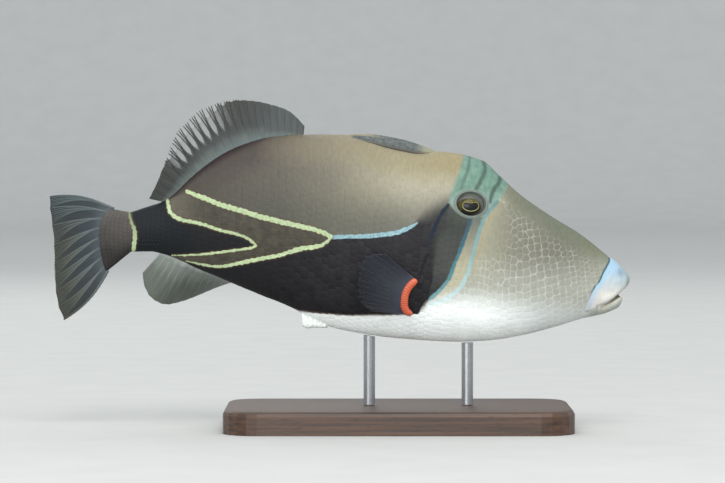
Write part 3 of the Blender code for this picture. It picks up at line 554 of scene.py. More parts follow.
def stroke(places, pixels, wobble=(0.0, 1.0)):
    """Signed distance to a drawn line of x, y and width in pixels, below 0 on the line."""
    rows = curve_through(pixels)
    return distance(places, side_place(rows), rows[:, 2] * PIXEL / 2, wobble)


def strokes(places, lines, wobble=(0.0, 1.0)):
    return np.min([stroke(places, line, wobble) for line in lines], axis=0)


def region(places, pixels):
    """Signed distance to a region outlined in pixels, below 0 inside it."""
    outline = side_place(pixels)
    outline = np.vstack([outline, outline[:1]])
    inside = np.zeros(len(places), bool)
    x, z = places.T
    for (x0, z0), (x1, z1) in zip(outline[:-1], outline[1:]):
        if z0 != z1:
            inside ^= ((z0 > z) != (z1 > z)) & (x < (x1 - x0) * (z - z0) / (z1 - z0) + x0)
    edge = distance(places, outline)
    return np.where(inside, -edge, edge)


def lip_region(places):
    """Signed distance to the lips above the mouth, below 0 on them."""
    return region(places, [*LIP_EDGE, *MOUTH_LINE, *SNOUT_CORNERS])


class EyeFrame:
    """The orbit's middle on the right flank, and the axes ahead, up and outward there."""

    def __init__(self):
        point, outward = flank(*EYE_PLACE, -1)
        self.middle, self.outward = point, outward
        self.ahead = unit(np.array([1.0, 0, 0]) - outward * outward[0])
        self.upward = np.cross(self.ahead, outward)
        if self.upward[2] < 0:
            self.upward = -self.upward

    def plane(self, points):
        """Places ahead and above in the eye's own plane, and off it."""
        off = points - self.middle
        return off @ self.ahead, off @ self.upward, off @ self.outward


EYE = EyeFrame()


def eye_metric(points):
    """1 on the middle of the orbit's rim, less inside it."""
    mirrored = points * np.array([1.0, 0, 1.0]) - np.array([0, 1.0, 0]) * np.abs(points[..., 1:2])
    ahead, above, _ = EYE.plane(mirrored)
    return np.hypot(ahead / ORBIT_RADII[0], above / ORBIT_RADII[1])


def markings(points):
    """Fields that the skin and its scales are painted from, at surface points of either side."""
    places = seen_places(points)
    x, z = places.T
    pixel_x = PIXEL_ORIGIN[0] + x / PIXEL
    edge = side_place(WHITE_EDGE)
    white_height = np.interp(x, edge[:, 0], edge[:, 1])
    softness = np.interp(pixel_x, *np.array(WHITE_SOFTNESS).T)
    caudal = side_place(CAUDAL_LINE)[::-1]
    nostrils = [np.hypot(x - place, z - height) - size for place, height, size in NOSTRILS]
    crest = BACK(points[:, 0]) - points[:, 2]
    return {
        "pale_line": strokes(places, PALE_LINES, LINE_WOBBLE),
        "blue_line": stroke(places, FLANK_BLUE),
        "face_first": stroke(places, FACE_FIRST),
        "face_second": stroke(places, FACE_SECOND),
        "face_third": stroke(places, FACE_THIRD),
        "face_strip": region(places, FACE_STRIP),
        "crown": region(places, CROWN_BAND),
        "crown_stripe": strokes(places, CROWN_STRIPES),
        "black": np.minimum(region(places, TAIL_BLACK), region(places, FLANK_BLACK)),
        "wedge": region(places, WEDGE_BROWN),
        "face_dark": region(places, FACE_DARK),
        "cheek": region(places, CHEEK),
        "white": (z - white_height) / softness,
        "lip": lip_region(places),
        "lip_band": stroke(places, LIP_BAND),
        "lip_line": stroke(places, LIP_LINE),
        "mouth_shadow": stroke(places, MOUTH_SHADOW),
        "mouth_notch": stroke(places, MOUTH_NOTCH),
        "mouth_fold": stroke(places, MOUTH_FOLD),
        "below_mouth": mouth_height(x) - z,
        "nostril": np.min(nostrils, axis=0),
        "orbit": eye_metric(points),
        "crest": crest,
        "dorsal_edge": crest - np.interp(x, *np.array(DORSAL_EDGE).T),
        "tail_base": x - np.interp(z, caudal[:, 1], caudal[:, 0]),
    }


def mouth_height(x):
    """Height of the line of the mouth, level behind its corner."""
    line = side_place(MOUTH_LINE)
    return np.interp(x, line[:, 0], line[:, 1])


class Skin:
    """The skin as a grid: stations from the tail base's arc to the lips, and rings round the body.

    A ring runs from the belly up the right side to the back, and down the left side.
    """

    def __init__(self):
        self.shares = self.ring_shares()
        rows, along = [], []
        for part, places in (self.tail_rows(), self.body_rows(), self.lip_rows()):
            rows.append(part)
            along.append(places)
        right = np.concatenate(rows)
        self.along = np.concatenate(along)
        steps = np.linalg.norm(np.diff(right, axis=1), axis=2)
        self.girth = steps.sum(axis=1)
        widest = np.argmin(right[:, :, 1], axis=1)
        middle = self.shares[widest] * self.girth
        padded = np.pad(middle, MIDDLE_SMOOTHING // 2, mode="edge")
        self.middle = np.convolve(padded, np.ones(MIDDLE_SMOOTHING) / MIDDLE_SMOOTHING, mode="valid")
        right -= unit(self.normals_of(self.closed(right)))[:, : RING_STEPS + 1] * SKIN_SINK
        right = self.detailed(right)
        right[:, 0, 1] = right[:, -1, 1] = 0.0
        self.points = self.closed(right)
        self.normals = unit(self.normals_of(self.points))

    @staticmethod
    def ring_shares():
        """Shares of the half ring's length at its steps, closer together at the eye's height."""
        share = np.linspace(0, 1, 2001)
        weight = 1 + EYE_CROWDING * np.exp(-(((share - EYE_SHARE) / EYE_SHARE_HALF) ** 4))
        total = np.concatenate([[0], np.cumsum((weight[1:] + weight[:-1]) / 2)])
        return np.interp(np.linspace(0, 1, RING_STEPS + 1), total / total[-1], share)

    def half_ring(self, u):
        """Right half of the ring at section u, at the ring's shares of its length."""
        angle = np.linspace(-math.pi / 2, math.pi / 2, 400)
        widest = WIDEST(u)
        above = angle >= 0
        reach = np.where(above, 1 - widest, 1 + widest)
        power = 2 / np.where(above, BACK_ROUNDING[0], BELLY_ROUNDING[0])
        level = widest + np.sign(angle) * reach * np.abs(np.sin(angle)) ** power
        return self.spaced(body_points(np.full(len(angle), u), level))

    def spaced(self, line):
        """Points along a line at the ring's shares of its length."""
        run = run_along(line)
        return np.stack([np.interp(self.shares * run[-1], run, part) for part in line.T], axis=1)

    def body_rows(self):
        before = np.arange(TAIL_ROOT_X, EYE_SPAN[0], BODY_STEP)
        middle = np.arange(*EYE_SPAN, EYE_STEP)
        after = np.linspace(EYE_SPAN[1], LIP_ROOT_X, round((LIP_ROOT_X - EYE_SPAN[1]) / BODY_STEP))
        places = np.concatenate([before, middle, after])
        return np.array([self.half_ring(u) for u in places]), places

    def tail_rows(self):
        """From the arc to the peduncle: an oval section that thins to the arc's edge."""
        root = self.half_ring(TAIL_ROOT_X)
        low, high = root[0, 2], root[-1, 2]
        down = (high - root[:, 2]) / (high - low)
        end = Curve(TAIL_ARC)(down)
        thin = -TAIL_BASE_END_HALF * rounded(1 - 2 * down, 0.0)
        rows = []
        for t in np.linspace(1, 0, TAIL_STATIONS, endpoint=False):
            x = root[:, 0] + (end[:, 0] - root[:, 0]) * t
            z = root[:, 2] + (end[:, 1] - root[:, 2]) * t
            rows.append(points_of(x, root[:, 1] + (thin - root[:, 1]) * t, z))
        reach = TAIL_ROOT_X - end[:, 0].mean()
        return np.array(rows), TAIL_ROOT_X - reach * np.linspace(1, 0, TAIL_STATIONS, endpoint=False)

    def lip_rows(self):
        """From the lips' root to their front edge, where both sides close."""
        root = self.half_ring(LIP_ROOT_X)
        front = self.spaced(side_place(curve_through(LIP_FRONT_PIXELS)))
        power, sharpness = LIP_CLOSING
        rows, places = [], []
        for s in np.sin(np.linspace(0, math.pi / 2, LIP_STATIONS + 1))[1:]:
            x = root[:, 0] + (front[:, 0] - root[:, 0]) * s
            z = root[:, 2] + (front[:, 1] - root[:, 2]) * s
            rows.append(points_of(x, root[:, 1] * (1 - min(s, 0.9995) ** power) ** sharpness, z))
            places.append(LIP_ROOT_X + s * LIP_REACH)
        return np.array(rows), np.array(places)

    @staticmethod
    def closed(right):
        left = right[:, -2:0:-1] * MIRROR
        return np.concatenate([right, left], axis=1)

    @staticmethod
    def normals_of(points):
        around = np.roll(points, -1, axis=1) - np.roll(points, 1, axis=1)
        along = np.gradient(points, axis=0)
        return np.cross(along, around) + 1e-12

    def detailed(self, right):
        """The right half with its orbit, nostrils, gill slit, lips, mouth and trough worked in."""
        normals = unit(self.normals_of(self.closed(right)))[:, : RING_STEPS + 1].reshape(-1, 3)
        flat = right.reshape(-1, 3)
        places = seen_places(flat)
        moved = flat + normals * (self.eye_relief(flat) + self.face_relief(flat, places))[:, None]
        half_width, depth, floor = TROUGH
        coming, going = TROUGH_ENDS
        x, y = flat[:, 0], np.abs(flat[:, 1])
        at_back = smooth(half_width, floor, y) * (flat[:, 2] > BACK_ABOVE)
        moved[:, 2] -= depth * smooth(*coming, x) * smooth(*going, x) * at_back
        return moved.reshape(right.shape)

    @staticmethod
    def eye_relief(flat):
        """Raised rim of the orbit, the socket inside it and the low moat round it."""
        metric = eye_metric(flat)
        radius = (metric - 1) * ORBIT_RADII[0]
        push = relief(radius, ORBIT_RELIEF) - SOCKET_DEPTH * smooth(*SOCKET_EDGE, radius)
        return np.where(metric < ORBIT_REACH, push, 0)

    @staticmethod
    def face_relief(flat, places):
        """Nostrils, gill slit, crease behind the lips, the mouth, and the lips' own swelling."""
        push = np.zeros(len(flat))
        rim_height, rim_place, rim_half = NOSTRIL_RIM
        for x, z, size in NOSTRILS:
            off = np.hypot(places[:, 0] - x, places[:, 1] - z)
            push += rim_height * bell(off, size * rim_place, rim_half)
            push -= NOSTRIL_DEPTH * np.exp(-((off / size) ** 4))
        push += relief(distance(places, side_place(GILL_SLIT)), GILL_RELIEF)
        crease = lip_region(places)
        push += LIP_SWELLING * smooth(0.3, -1.2, crease) * smooth(-6.0, -2.0, crease)
        push += relief(crease, CREASE_RELIEF)
        below = mouth_height(places[:, 0]) - places[:, 1]
        push += smooth(*LIPS_COME_IN, places[:, 0]) * relief(below, LIP_RELIEF)
        return push + relief(distance(places, side_place(MOUTH_LINE)), MOUTH_RELIEF)

    def sample(self, along, across):
        """Points, normals and grid places at distances along the body and up from its widest line."""
        i = np.interp(along, self.along, np.arange(len(self.along)))
        low = np.minimum(i.astype(int), len(self.along) - 2)
        f = i - low
        girth = self.girth[low] * (1 - f) + self.girth[low + 1] * f
        middle = self.middle[low] * (1 - f) + self.middle[low + 1] * f
        share = np.clip((across + middle) / girth, 0.0015, 0.9985)
        j = np.interp(share, self.shares, np.arange(RING_STEPS + 1))
        step = np.minimum(j.astype(int), RING_STEPS - 1)
        g = (j - step)[:, None]
        f = f[:, None]

        def mixed(grid):
            near = grid[low, step] * (1 - g) + grid[low, step + 1] * g
            far = grid[low + 1, step] * (1 - g) + grid[low + 1, step + 1] * g
            return near * (1 - f) + far * f

        return mixed(self.points), unit(mixed(self.normals)), i, j


def add_object(name, data):
    obj = bpy.data.objects.new(name, data)
    bpy.context.scene.collection.objects.link(obj)
    return obj


def aim(obj, place, target):
    """Stands a light or the camera at a place, facing the target."""
    obj.location = place
    obj.rotation_mode = "QUATERNION"
    obj.rotation_quaternion = (target - Vector(place)).to_track_quat("-Z", "Y")


def make_mesh(name, points, faces, fields=None, bake=None):
    """Mesh object from millimetre points; fields are numbers at its points, bake places at face corners."""
    mesh = bpy.data.meshes.new(name)
    rows = faces.tolist() if isinstance(faces, np.ndarray) else faces
    mesh.from_pydata((np.asarray(points) * MM).tolist(), [], rows)
    for key, values in (fields or {}).items():
        layer = mesh.attributes.new(key, "FLOAT", "POINT")
        layer.data.foreach_set("value", np.asarray(values, np.float32))
    if bake is not None:
        layer = mesh.uv_layers.new(name="OFBake")
        layer.data.foreach_set("uv", np.asarray(bake, np.float32).ravel())
    mesh.shade_smooth()
    return add_object(name, mesh)


def dress(obj, material, replaced=()):
    """Gives a piece its material and its body, and hides the nodes that it stands for."""
    obj.data.materials.append(material)
    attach(obj, "root")
    if replaced:
        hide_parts(*replaced)
    return obj


def grid_faces(rows, columns, wrap=False):
    """Quads of a grid of points, facing rows cross columns; wrap joins the last column to the first."""
    i = np.arange(rows - 1)[:, None]
    j = np.arange(columns if wrap else columns - 1)[None, :]
    k = (j + 1) % columns
    a, b = i * columns, (i + 1) * columns
    return np.stack([a + j, b + j, b + k, a + k], axis=-1).reshape(-1, 4)


def tube_faces(rows, columns):
    """Faces of a closed tube: its grid and a cap on each end."""
    caps = [list(range(columns)), list(range(rows * columns - 1, (rows - 1) * columns - 1, -1))]
    return grid_faces(rows, columns, wrap=True).tolist() + caps


def linear(red, green, blue):
    """Linear colour of 8-bit display values."""
    parts = []
    for value in (red, green, blue):
        value /= 255
        parts.append(value / 12.92 if value <= 0.04045 else ((value + 0.055) / 1.055) ** 2.4)
    return (*parts, 1.0)


class Paint:
    """One material, painted by short calls that each return a socket."""

    def __init__(self, name, **values):
        self.material = bpy.data.materials.new(name)
        self.material.use_nodes = True
        self.nodes = self.material.node_tree.nodes
        self.links = self.material.node_tree.links
        self.shader = self.nodes["Principled BSDF"]
        for key, value in values.items():
            self.shader.inputs[key.replace("_", " ")].default_value = value
        self.object_place = self.node("TexCoord").outputs["Object"]

    def node(self, kind, values=(), **settings):
        made = self.nodes.new("ShaderNode" + kind)
        for key, value in settings.items():
            setattr(made, key, value)
        for socket, value in values:
            self.put(made.inputs[socket], value)
        return made

    def put(self, socket, value):
        if isinstance(value, bpy.types.NodeSocket):
            self.links.new(value, socket)
        else:
            socket.default_value = value

    def field(self, name):
        return self.node("Attribute", attribute_name=name).outputs["Fac"]

    def math(self, operation, a, b=0.0):
        return self.node("Math", ((0, a), (1, b)), operation=operation).outputs[0]

    def times(self, a, b):
        return self.math("MULTIPLY", a, b)

    def plus(self, a, b):
        return self.math("ADD", a, b)

    def minus(self, a, b):
        return self.math("SUBTRACT", a, b)

    def larger(self, a, b):
        return self.math("MAXIMUM", a, b)

    def swing(self, value, amount):
        """What a value has over one half, times an amount."""
        return self.times(self.minus(value, 0.5), amount)

    def axes(self):
        """The place's x, y and z in millimetres."""
        parts = self.node("SeparateXYZ", ((0, self.object_place),))
        return [self.times(parts.outputs[k], 1 / MM) for k in range(3)]

    def vector(self, x, y, z=0.0):
        return self.node("CombineXYZ", ((0, x), (1, y), (2, z))).outputs[0]

    def step(self, value, low, high):
        """Smooth step from 0 at low to 1 at high."""
        values = (("Value", value), ("From Min", low), ("From Max", high))
        return self.node("MapRange", values, interpolation_type="SMOOTHSTEP").outputs[0]

    def inside(self, value, soft, edge=0.0):
        """1 where a signed distance is below the edge."""
        return self.step(value, edge + soft, edge - soft)

    def noise(self, scale, vector=None, detail=3.0, roughness=0.5):
        """Noise from 0 to 1; scale is in cycles a metre, or in cycles a unit of the given vector."""
        values = [("Scale", scale), ("Detail", detail), ("Roughness", roughness)]
        values.append(("Vector", self.object_place if vector is None else vector))
        return self.node("TexNoise", values).outputs[0]

    def stretched(self, values, scales, detail=3.0, roughness=0.5):
        """Noise over up to three values, each at a scale of its own."""
        places = [self.times(value, scale) for value, scale in zip(values, scales)]
        return self.noise(1.0, self.vector(*places), detail, roughness)

    def laid(self, colour, name, soft, paint, share=1.0):
        """A colour with a share of a paint over it inside a marking."""
        return self.mix(self.times(self.inside(self.field(name), soft), share), colour, paint)

    def mix(self, share, a, b):
        return self.node("Mix", ((0, share), (6, a), (7, b)), data_type="RGBA").outputs[2]

    def blend(self, share, a, b):
        return self.node("Mix", ((0, share), (2, a), (3, b)), data_type="FLOAT").outputs[0]

    def brighten(self, colour, amount):
        """The colour times an amount."""
        return self.node("VectorMath", ((0, colour), ("Scale", amount)), operation="SCALE").outputs[0]

    def ramp(self, value, stops):
        """Colour along a value, from stops of (value, red, green, blue)."""
        low, high = stops[0][0], stops[-1][0]
        share = self.node("MapRange", (("Value", value), ("From Min", low), ("From Max", high))).outputs[0]
        made = self.node("ValToRGB", ((0, share),))
        elements = made.color_ramp.elements
        while len(elements) < len(stops):
            elements.new(0.5)
        for element, stop in zip(elements, stops):
            element.position = (stop[0] - low) / (high - low)
            element.color = linear(*stop[1:])
        return made.outputs[0]

    def finish(self, colour, heights=(), roughness=None, alpha=None, shade=SHADE):
        """Sets colour, bump from (height, strength, distance) rows, roughness and alpha."""
        values = {"Base Color": self.brighten(colour, shade), "Roughness": roughness, "Alpha": alpha}
        for height, strength, reach in heights:
            bump = self.node("Bump", (("Height", height), ("Strength", strength), ("Distance", reach)))
            if "Normal" in values:
                self.put(bump.inputs["Normal"], values["Normal"])
            values["Normal"] = bump.outputs[0]
        for name, value in values.items():
            if value is not None:
                self.put(self.shader.inputs[name], value)
        return self.material


def flank_colour(p, x, z, crest):
    """Beige ahead to brown-grey behind; painted light makes the upper front lightest and the back's top and
    low flank darker.
    """
    # Painted light: the middle band is lightest on the upper front, where the light falls most; the back and
    # low bands are painted darker as shade, and the back's is also yellower in its own colour
    back = p.ramp(x, (
        (-62, 80, 75, 67), (-45, 80, 74, 67), (-30, 78, 71, 65), (-18, 112, 104, 89), (0, 140, 131, 108),
        (20, 156, 147, 118), (34, 156, 145, 112), (42, 156, 145, 110),
    ))
    middle = p.ramp(x, (
        (-62, 78, 75, 67), (-45, 84, 80, 71), (-20, 98, 94, 84), (-4, 120, 115, 101), (12, 152, 147, 126),
        (25, 176, 171, 149), (40, 172, 167, 145),
    ))
    low = p.ramp(x, (
        (-62, 80, 78, 70), (-20, 88, 87, 78), (0, 104, 103, 91), (15, 110, 109, 98), (32, 124, 122, 110),
    ))
    lower = p.mix(p.step(z, 70.0, 87.0), low, middle)
    return p.mix(p.step(crest, 14.0, 4.0), lower, back)


def cheek_colour(p, x, z, crest, cell):
    """Brownish cells in a thin pale net; smooth and warmer behind, greener along the top of the snout."""
    cells = p.ramp(x, (
        (48, 165, 163, 140), (60, 131, 129, 113), (75, 117, 116, 101), (88, 128, 127, 110),
        (95, 124, 118, 96),
    ))
    net = p.ramp(x, ((48, 182, 181, 165), (60, 164, 165, 153), (75, 157, 159, 149), (95, 150, 151, 138)))
    edge = p.plus(cell, p.swing(p.noise(420.0, detail=2.0, roughness=0.6), 0.22))
    lines = p.step(edge, 0.85, 0.97)
    clear = p.times(p.step(x, 53.0, 62.0), p.step(crest, 3.0, 9.0))
    low = p.step(z, 66.0, 58.0)
    colour = p.mix(p.times(lines, p.larger(clear, low)), cells, net)
    top = p.ramp(x, ((50, 142, 139, 116), (62, 117, 120, 102), (75, 110, 115, 98), (95, 120, 122, 98)))
    colour = p.mix(p.step(crest, 10.0, 1.0), colour, top)
    warm = p.times(p.step(p.field("face_third"), 3.5, 0.8), p.step(x, 62.0, 50.0))
    colour = p.mix(p.times(warm, 0.6), colour, linear(170, 160, 128))
    pale = p.mix(lines, linear(184, 185, 172), linear(206, 209, 199))
    lower = p.times(p.step(z, 64.0, 44.0), p.blend(p.step(x, 84.0, 58.0), 0.84, 0.97))
    colour = p.mix(lower, colour, pale)
    strip = p.ramp(z, (
        (44, 222, 220, 204), (50, 200, 194, 168), (58, 178, 173, 146), (66, 140, 140, 122),
        (72, 108, 112, 101),
    ))
    return p.laid(colour, "face_strip", 0.3, strip)


def rear_colour(p, colour, x, z, cell, mottle):
    """Dark edge along the back behind, the brown wedge, and the tail base."""
    colour = p.mix(p.step(p.field("dorsal_edge"), 1.6, -1.8), colour, linear(54, 43, 43))
    wedge = p.ramp(p.noise(420.0), ((0.3, 68, 66, 57), (0.7, 86, 81, 69)))
    wedge = p.mix(p.step(x, -46.0, -58.0), wedge, linear(100, 95, 83))
    colour = p.laid(colour, "wedge", 0.5, wedge)
    tail = p.ramp(p.plus(z, p.swing(mottle, 14.0)), (
        (54, 40, 37, 37), (61, 54, 50, 48), (68, 76, 72, 68), (76, 94, 90, 84),
    ))
    tail = p.brighten(tail, p.blend(p.step(cell, 0.5, 1.0), 1.03, 0.85))
    return p.mix(p.step(p.field("tail_base"), 0.3, -0.3), colour, tail)


def black_colour(p, colour, x, z, pick, mottle, ragged):
    """Black of flank and peduncle: smoky at its front edge, and with a brown rim along the white belly."""
    uneven = p.plus(pick, p.times(mottle, 0.8))
    black = p.ramp(uneven, ((0.0, 24, 22, 26), (1.6, 44, 43, 46)))
    black = p.mix(p.step(x, -5.0, -40.0), black, linear(29, 29, 31))
    black = p.mix(p.step(x, -46.0, -56.0), black, linear(22, 26, 30))
    low_part = p.times(p.step(z, 51.0, 60.0), 1.5)
    high_part = p.times(p.step(z, 64.0, 70.0), 2.2)
    ahead = p.step(x, 24.0, 30.0)
    soft = p.plus(0.3, p.times(ahead, p.plus(low_part, high_part)))
    smoky = p.swing(mottle, p.times(soft, 0.6))
    edge = p.plus(p.plus(p.field("black"), smoky), ragged)
    outer = p.blend(p.step(soft, 0.3, 2.5), 0.9, 1.3)
    inner = p.blend(p.step(soft, 0.3, 2.5), -1.0, -0.7)
    colour = p.mix(p.step(p.math("DIVIDE", edge, soft), outer, inner), colour, black)
    rim = p.times(p.step(p.math("ABSOLUTE", p.field("white")), 1.6, 0.4), p.step(x, 26.0, 20.0))
    return p.mix(p.times(rim, 0.45), colour, linear(112, 98, 84))


def crown_colour(p, colour, x, z):
    """Green band and darker stripes between the eyes, and the three lines from the eye down."""
    band = p.ramp(p.noise(500.0), ((0.3, 104, 138, 122), (0.7, 124, 156, 140)))
    band = p.mix(p.step(z, 84.0, 78.0), band, linear(138, 164, 152))
    colour = p.laid(colour, "crown", 0.8, band)
    stripe = p.ramp(x, ((42, 96, 122, 108), (48, 76, 98, 86), (56, 68, 90, 78)))
    colour = p.laid(colour, "crown_stripe", 0.5, stripe, 0.9)
    cyan = p.ramp(z, ((42, 226, 240, 240), (50, 190, 218, 217), (60, 138, 174, 174), (80, 102, 140, 134)))
    colour = p.laid(colour, "face_third", 0.4, cyan, 0.92)
    second = p.ramp(z, ((44, 136, 182, 184), (56, 78, 132, 142), (64, 60, 104, 118), (74, 50, 78, 92)))
    colour = p.laid(colour, "face_second", 0.3, second)
    high_up = p.times(p.step(z, 60.0, 68.0), 0.95)
    return p.laid(colour, "face_first", 0.35, linear(10, 32, 50), high_up)


def line_colour(p, colour, x, z, speckle, ragged):
    """The flank's blue line, and the pale lines in their thin brown margins, painted lighter low down as
    painted light.
    """
    blue = p.ramp(speckle, ((0.3, 112, 150, 162), (0.5, 146, 182, 190), (0.7, 172, 202, 204)))
    lower_edge = p.plus(p.field("blue_line"), p.times(ragged, 0.7))
    colour = p.mix(p.inside(lower_edge, 0.16), colour, blue)
    margin = p.times(p.step(p.field("pale_line"), 0.8, 0.2), 0.35)
    colour = p.mix(margin, colour, linear(92, 64, 46))
    pale = p.ramp(speckle, ((0.3, 170, 188, 146), (0.6, 198, 215, 168)))
    behind = p.times(p.step(x, -66.0, -70.0), p.step(z, 62.0, 74.0))
    pale = p.mix(behind, pale, linear(132, 146, 108))
    # Painted light: low on the flank the pale lines face down and get less light, so they are painted up to a
    # fifth lighter from z 66 down to z 59
    pale = p.brighten(pale, p.blend(p.step(z, 66.0, 59.0), 1.0, 1.2))
    return p.mix(p.inside(p.plus(p.field("pale_line"), ragged), 0.16), colour, pale)


def opening_colour(p, colour):
    """Nostrils, and the ringed rim of the orbit, with painted shade in the socket and round the eyeball."""
    nostril = p.ramp(p.field("nostril"), ((-0.1, 126, 122, 104), (0.05, 150, 146, 126), (0.2, 190, 188, 168)))
    colour = p.mix(p.times(p.step(p.field("nostril"), 0.42, 0.2), 0.8), colour, nostril)
    # The dark stops at 0.84 and 0.95 are painted shade, in the socket and in the gap between the eyeball and
    # the orbit's wall; the pale rings are the rim's own colour
    rim = p.ramp(p.field("orbit"), (
        (0.84, 74, 77, 72), (0.9, 124, 131, 122), (0.95, 80, 86, 82), (1.01, 140, 150, 142),
        (1.06, 112, 122, 116), (1.16, 130, 142, 136),
    ))
    return p.mix(p.step(p.field("orbit"), 1.2, 1.12), colour, rim)


def skin_material():
    """The painted skin and its scales."""
    p = Paint("skin", Roughness=0.55, Specular_IOR_Level=0.18)
    x, _, z = p.axes()
    crest, cell, pick = p.field("crest"), p.field("cell"), p.field("pick")
    along, across = p.field("along"), p.field("across")
    grain = p.stretched((along, across), (1.15, 0.3), 2.0, 0.6)
    slant = p.plus(across, p.times(along, -0.5))
    ripple = p.stretched((slant, along), (0.9, 0.12), 1.0)
    mottle = p.noise(160.0, detail=4.0)
    speckle = p.noise(1500.0, detail=2.0, roughness=0.7)
    ragged = p.swing(p.noise(900.0, detail=1.0), 0.5)

    colour = rear_colour(p, flank_colour(p, x, z, crest), x, z, cell, mottle)
    colour = p.laid(colour, "cheek", 0.4, cheek_colour(p, x, z, crest, cell))
    face_dark = p.ramp(z, ((45, 44, 46, 50), (56, 74, 76, 71), (70, 62, 65, 60), (78, 84, 88, 80)))
    face_dark = p.brighten(face_dark, p.blend(mottle, 0.7, 1.3))
    colour = p.laid(colour, "face_dark", 1.0, face_dark)
    white = p.times(p.inside(p.field("white"), 1.0), 0.97)
    belly = p.ramp(mottle, ((0.3, 234, 240, 236), (0.7, 246, 250, 248)))
    colour = p.mix(white, colour, p.brighten(belly, p.blend(ripple, 0.9, 1.08)))
    colour = black_colour(p, colour, x, z, pick, mottle, ragged)
    colour = crown_colour(p, colour, x, z)
    colour = line_colour(p, colour, x, z, speckle, ragged)
    colour = lip_colour(p, opening_colour(p, colour), x, z)

    grain_light = p.plus(1.0, p.swing(grain, p.blend(white, 0.4, 0.12)))
    pick_light = p.plus(0.98, p.times(pick, 0.04))
    colour = p.brighten(colour, p.times(grain_light, pick_light))
    roughness = p.blend(mottle, 0.5, 0.65)
    shade = p.blend(white, SHADE, p.blend(p.step(x, 76.0, 48.0), 0.64, 1.0))
    return p.finish(colour, ((grain, 0.25, 0.0002), (speckle, 0.15, 0.0001)), roughness, shade=shade)


def lip_colour(p, colour, x, z):
    """Violet blue above, cream below and a grey patch; a pale blue band behind; a beige lower lip; a painted
    shadow under the upper lip.
    """
    below = p.field("below_mouth")
    chin = p.times(p.step(spot_distance(p, x, z, 87.8, 39.2), 3.2, 0.8), 0.5)
    colour = p.mix(chin, colour, linear(150, 164, 152))
    lower = p.ramp(below, (
        (0.2, 184, 180, 162), (1.5, 208, 206, 192), (3.0, 184, 190, 178), (5.0, 152, 162, 152),
    ))
    on_lips = p.times(p.step(x, 88.0, 91.6), p.step(below, -0.1, 0.2))
    colour = p.mix(on_lips, colour, lower)
    upper = p.ramp(z, ((43, 226, 224, 216), (47, 222, 220, 212), (51, 196, 208, 211), (55, 170, 198, 218)))
    upper = p.mix(p.step(x, 98.0, 99.6), upper, linear(156, 172, 162))
    patch = p.times(p.step(spot_distance(p, x, z, 97.2, 54.2), 2.6, 0.4), 0.5)
    upper = p.mix(patch, upper, linear(124, 138, 146))
    band = p.ramp(z, ((42, 202, 212, 222), (50, 172, 204, 222), (58, 162, 196, 216)))
    upper = p.laid(upper, "lip_band", 1.0, band)
    colour = p.laid(colour, "lip", 0.15, upper)
    high_up = p.times(p.step(z, 41.0, 49.0), 0.9)
    colour = p.laid(colour, "lip_line", 0.2, linear(40, 74, 84), high_up)
    colour = p.laid(colour, "mouth_notch", 0.2, linear(112, 112, 108), 0.6)
    colour = p.laid(colour, "mouth_fold", 0.2, linear(226, 228, 224), 0.7)
    # Painted shadow under the overhanging upper lip, along the mouth's line, darker and wider towards the
    # front
    lip_shadow = p.ramp(x, ((91, 128, 118, 96), (96, 104, 98, 78), (97.5, 90, 92, 78)))
    return p.laid(colour, "mouth_shadow", 0.25, lip_shadow)


def spot_distance(p, x, z, centre_x, centre_z):
    """Distance in the side view from a place in millimetres."""
    across = p.math("POWER", p.minus(x, centre_x), 2.0)
    up = p.math("POWER", p.minus(z, centre_z), 2.0)
    return p.math("SQRT", p.plus(across, up))


def bake_places(i, j, stations):
    """Places on the skin's own unwrap: along it, and round it."""
    return np.stack([i / (stations - 1), j / (2 * RING_STEPS)], axis=-1)


def make_skin(skin, material):
    """One closed skin from the tail base to the lips."""
    stations, ring = skin.points.shape[:2]
    half = np.minimum(np.arange(ring), ring - np.arange(ring))
    right = skin.points[:, : RING_STEPS + 1].reshape(-1, 3)
    fields = {}
    for key, values in markings(right).items():
        fields[key] = values.reshape(stations, RING_STEPS + 1)[:, half].ravel()
    fields["across"] = (skin.shares[half][None, :] * skin.girth[:, None] - skin.middle[:, None]).ravel()
    fields["along"] = np.repeat(skin.along, ring)
    fields["cell"] = np.full(stations * ring, SKIN_CELL)
    fields["pick"] = np.full(stations * ring, 0.5)
    i, j = np.meshgrid(np.arange(stations - 1), np.arange(ring), indexing="ij")
    quads = np.stack([(i, j), (i + 1, j), (i + 1, j + 1), (i, j + 1)], axis=-1)
    corners = quads.transpose(1, 2, 3, 0).reshape(-1, 4, 2).tolist()
    for station, way in ((0, 1), (stations - 1, -1)):
        for j in range(RING_STEPS):
            steps = sorted({j % ring, j + 1, ring - j - 1} | ({ring - j} if j else set()))
            corners.append([(station, step) for step in steps[::way]])
    faces = [[i * ring + j % ring for i, j in face] for face in corners]
    flat = np.array([corner for face in corners for corner in face])
    bake = bake_places(flat[:, 0], flat[:, 1], stations)
    obj = make_mesh("skin", skin.points.reshape(-1, 3), faces, fields, bake)
    return dress(obj, material, (
        "head", "trunk", "caudal_peduncle", "tail_base", "upper_lip", "lower_lip",
    ))


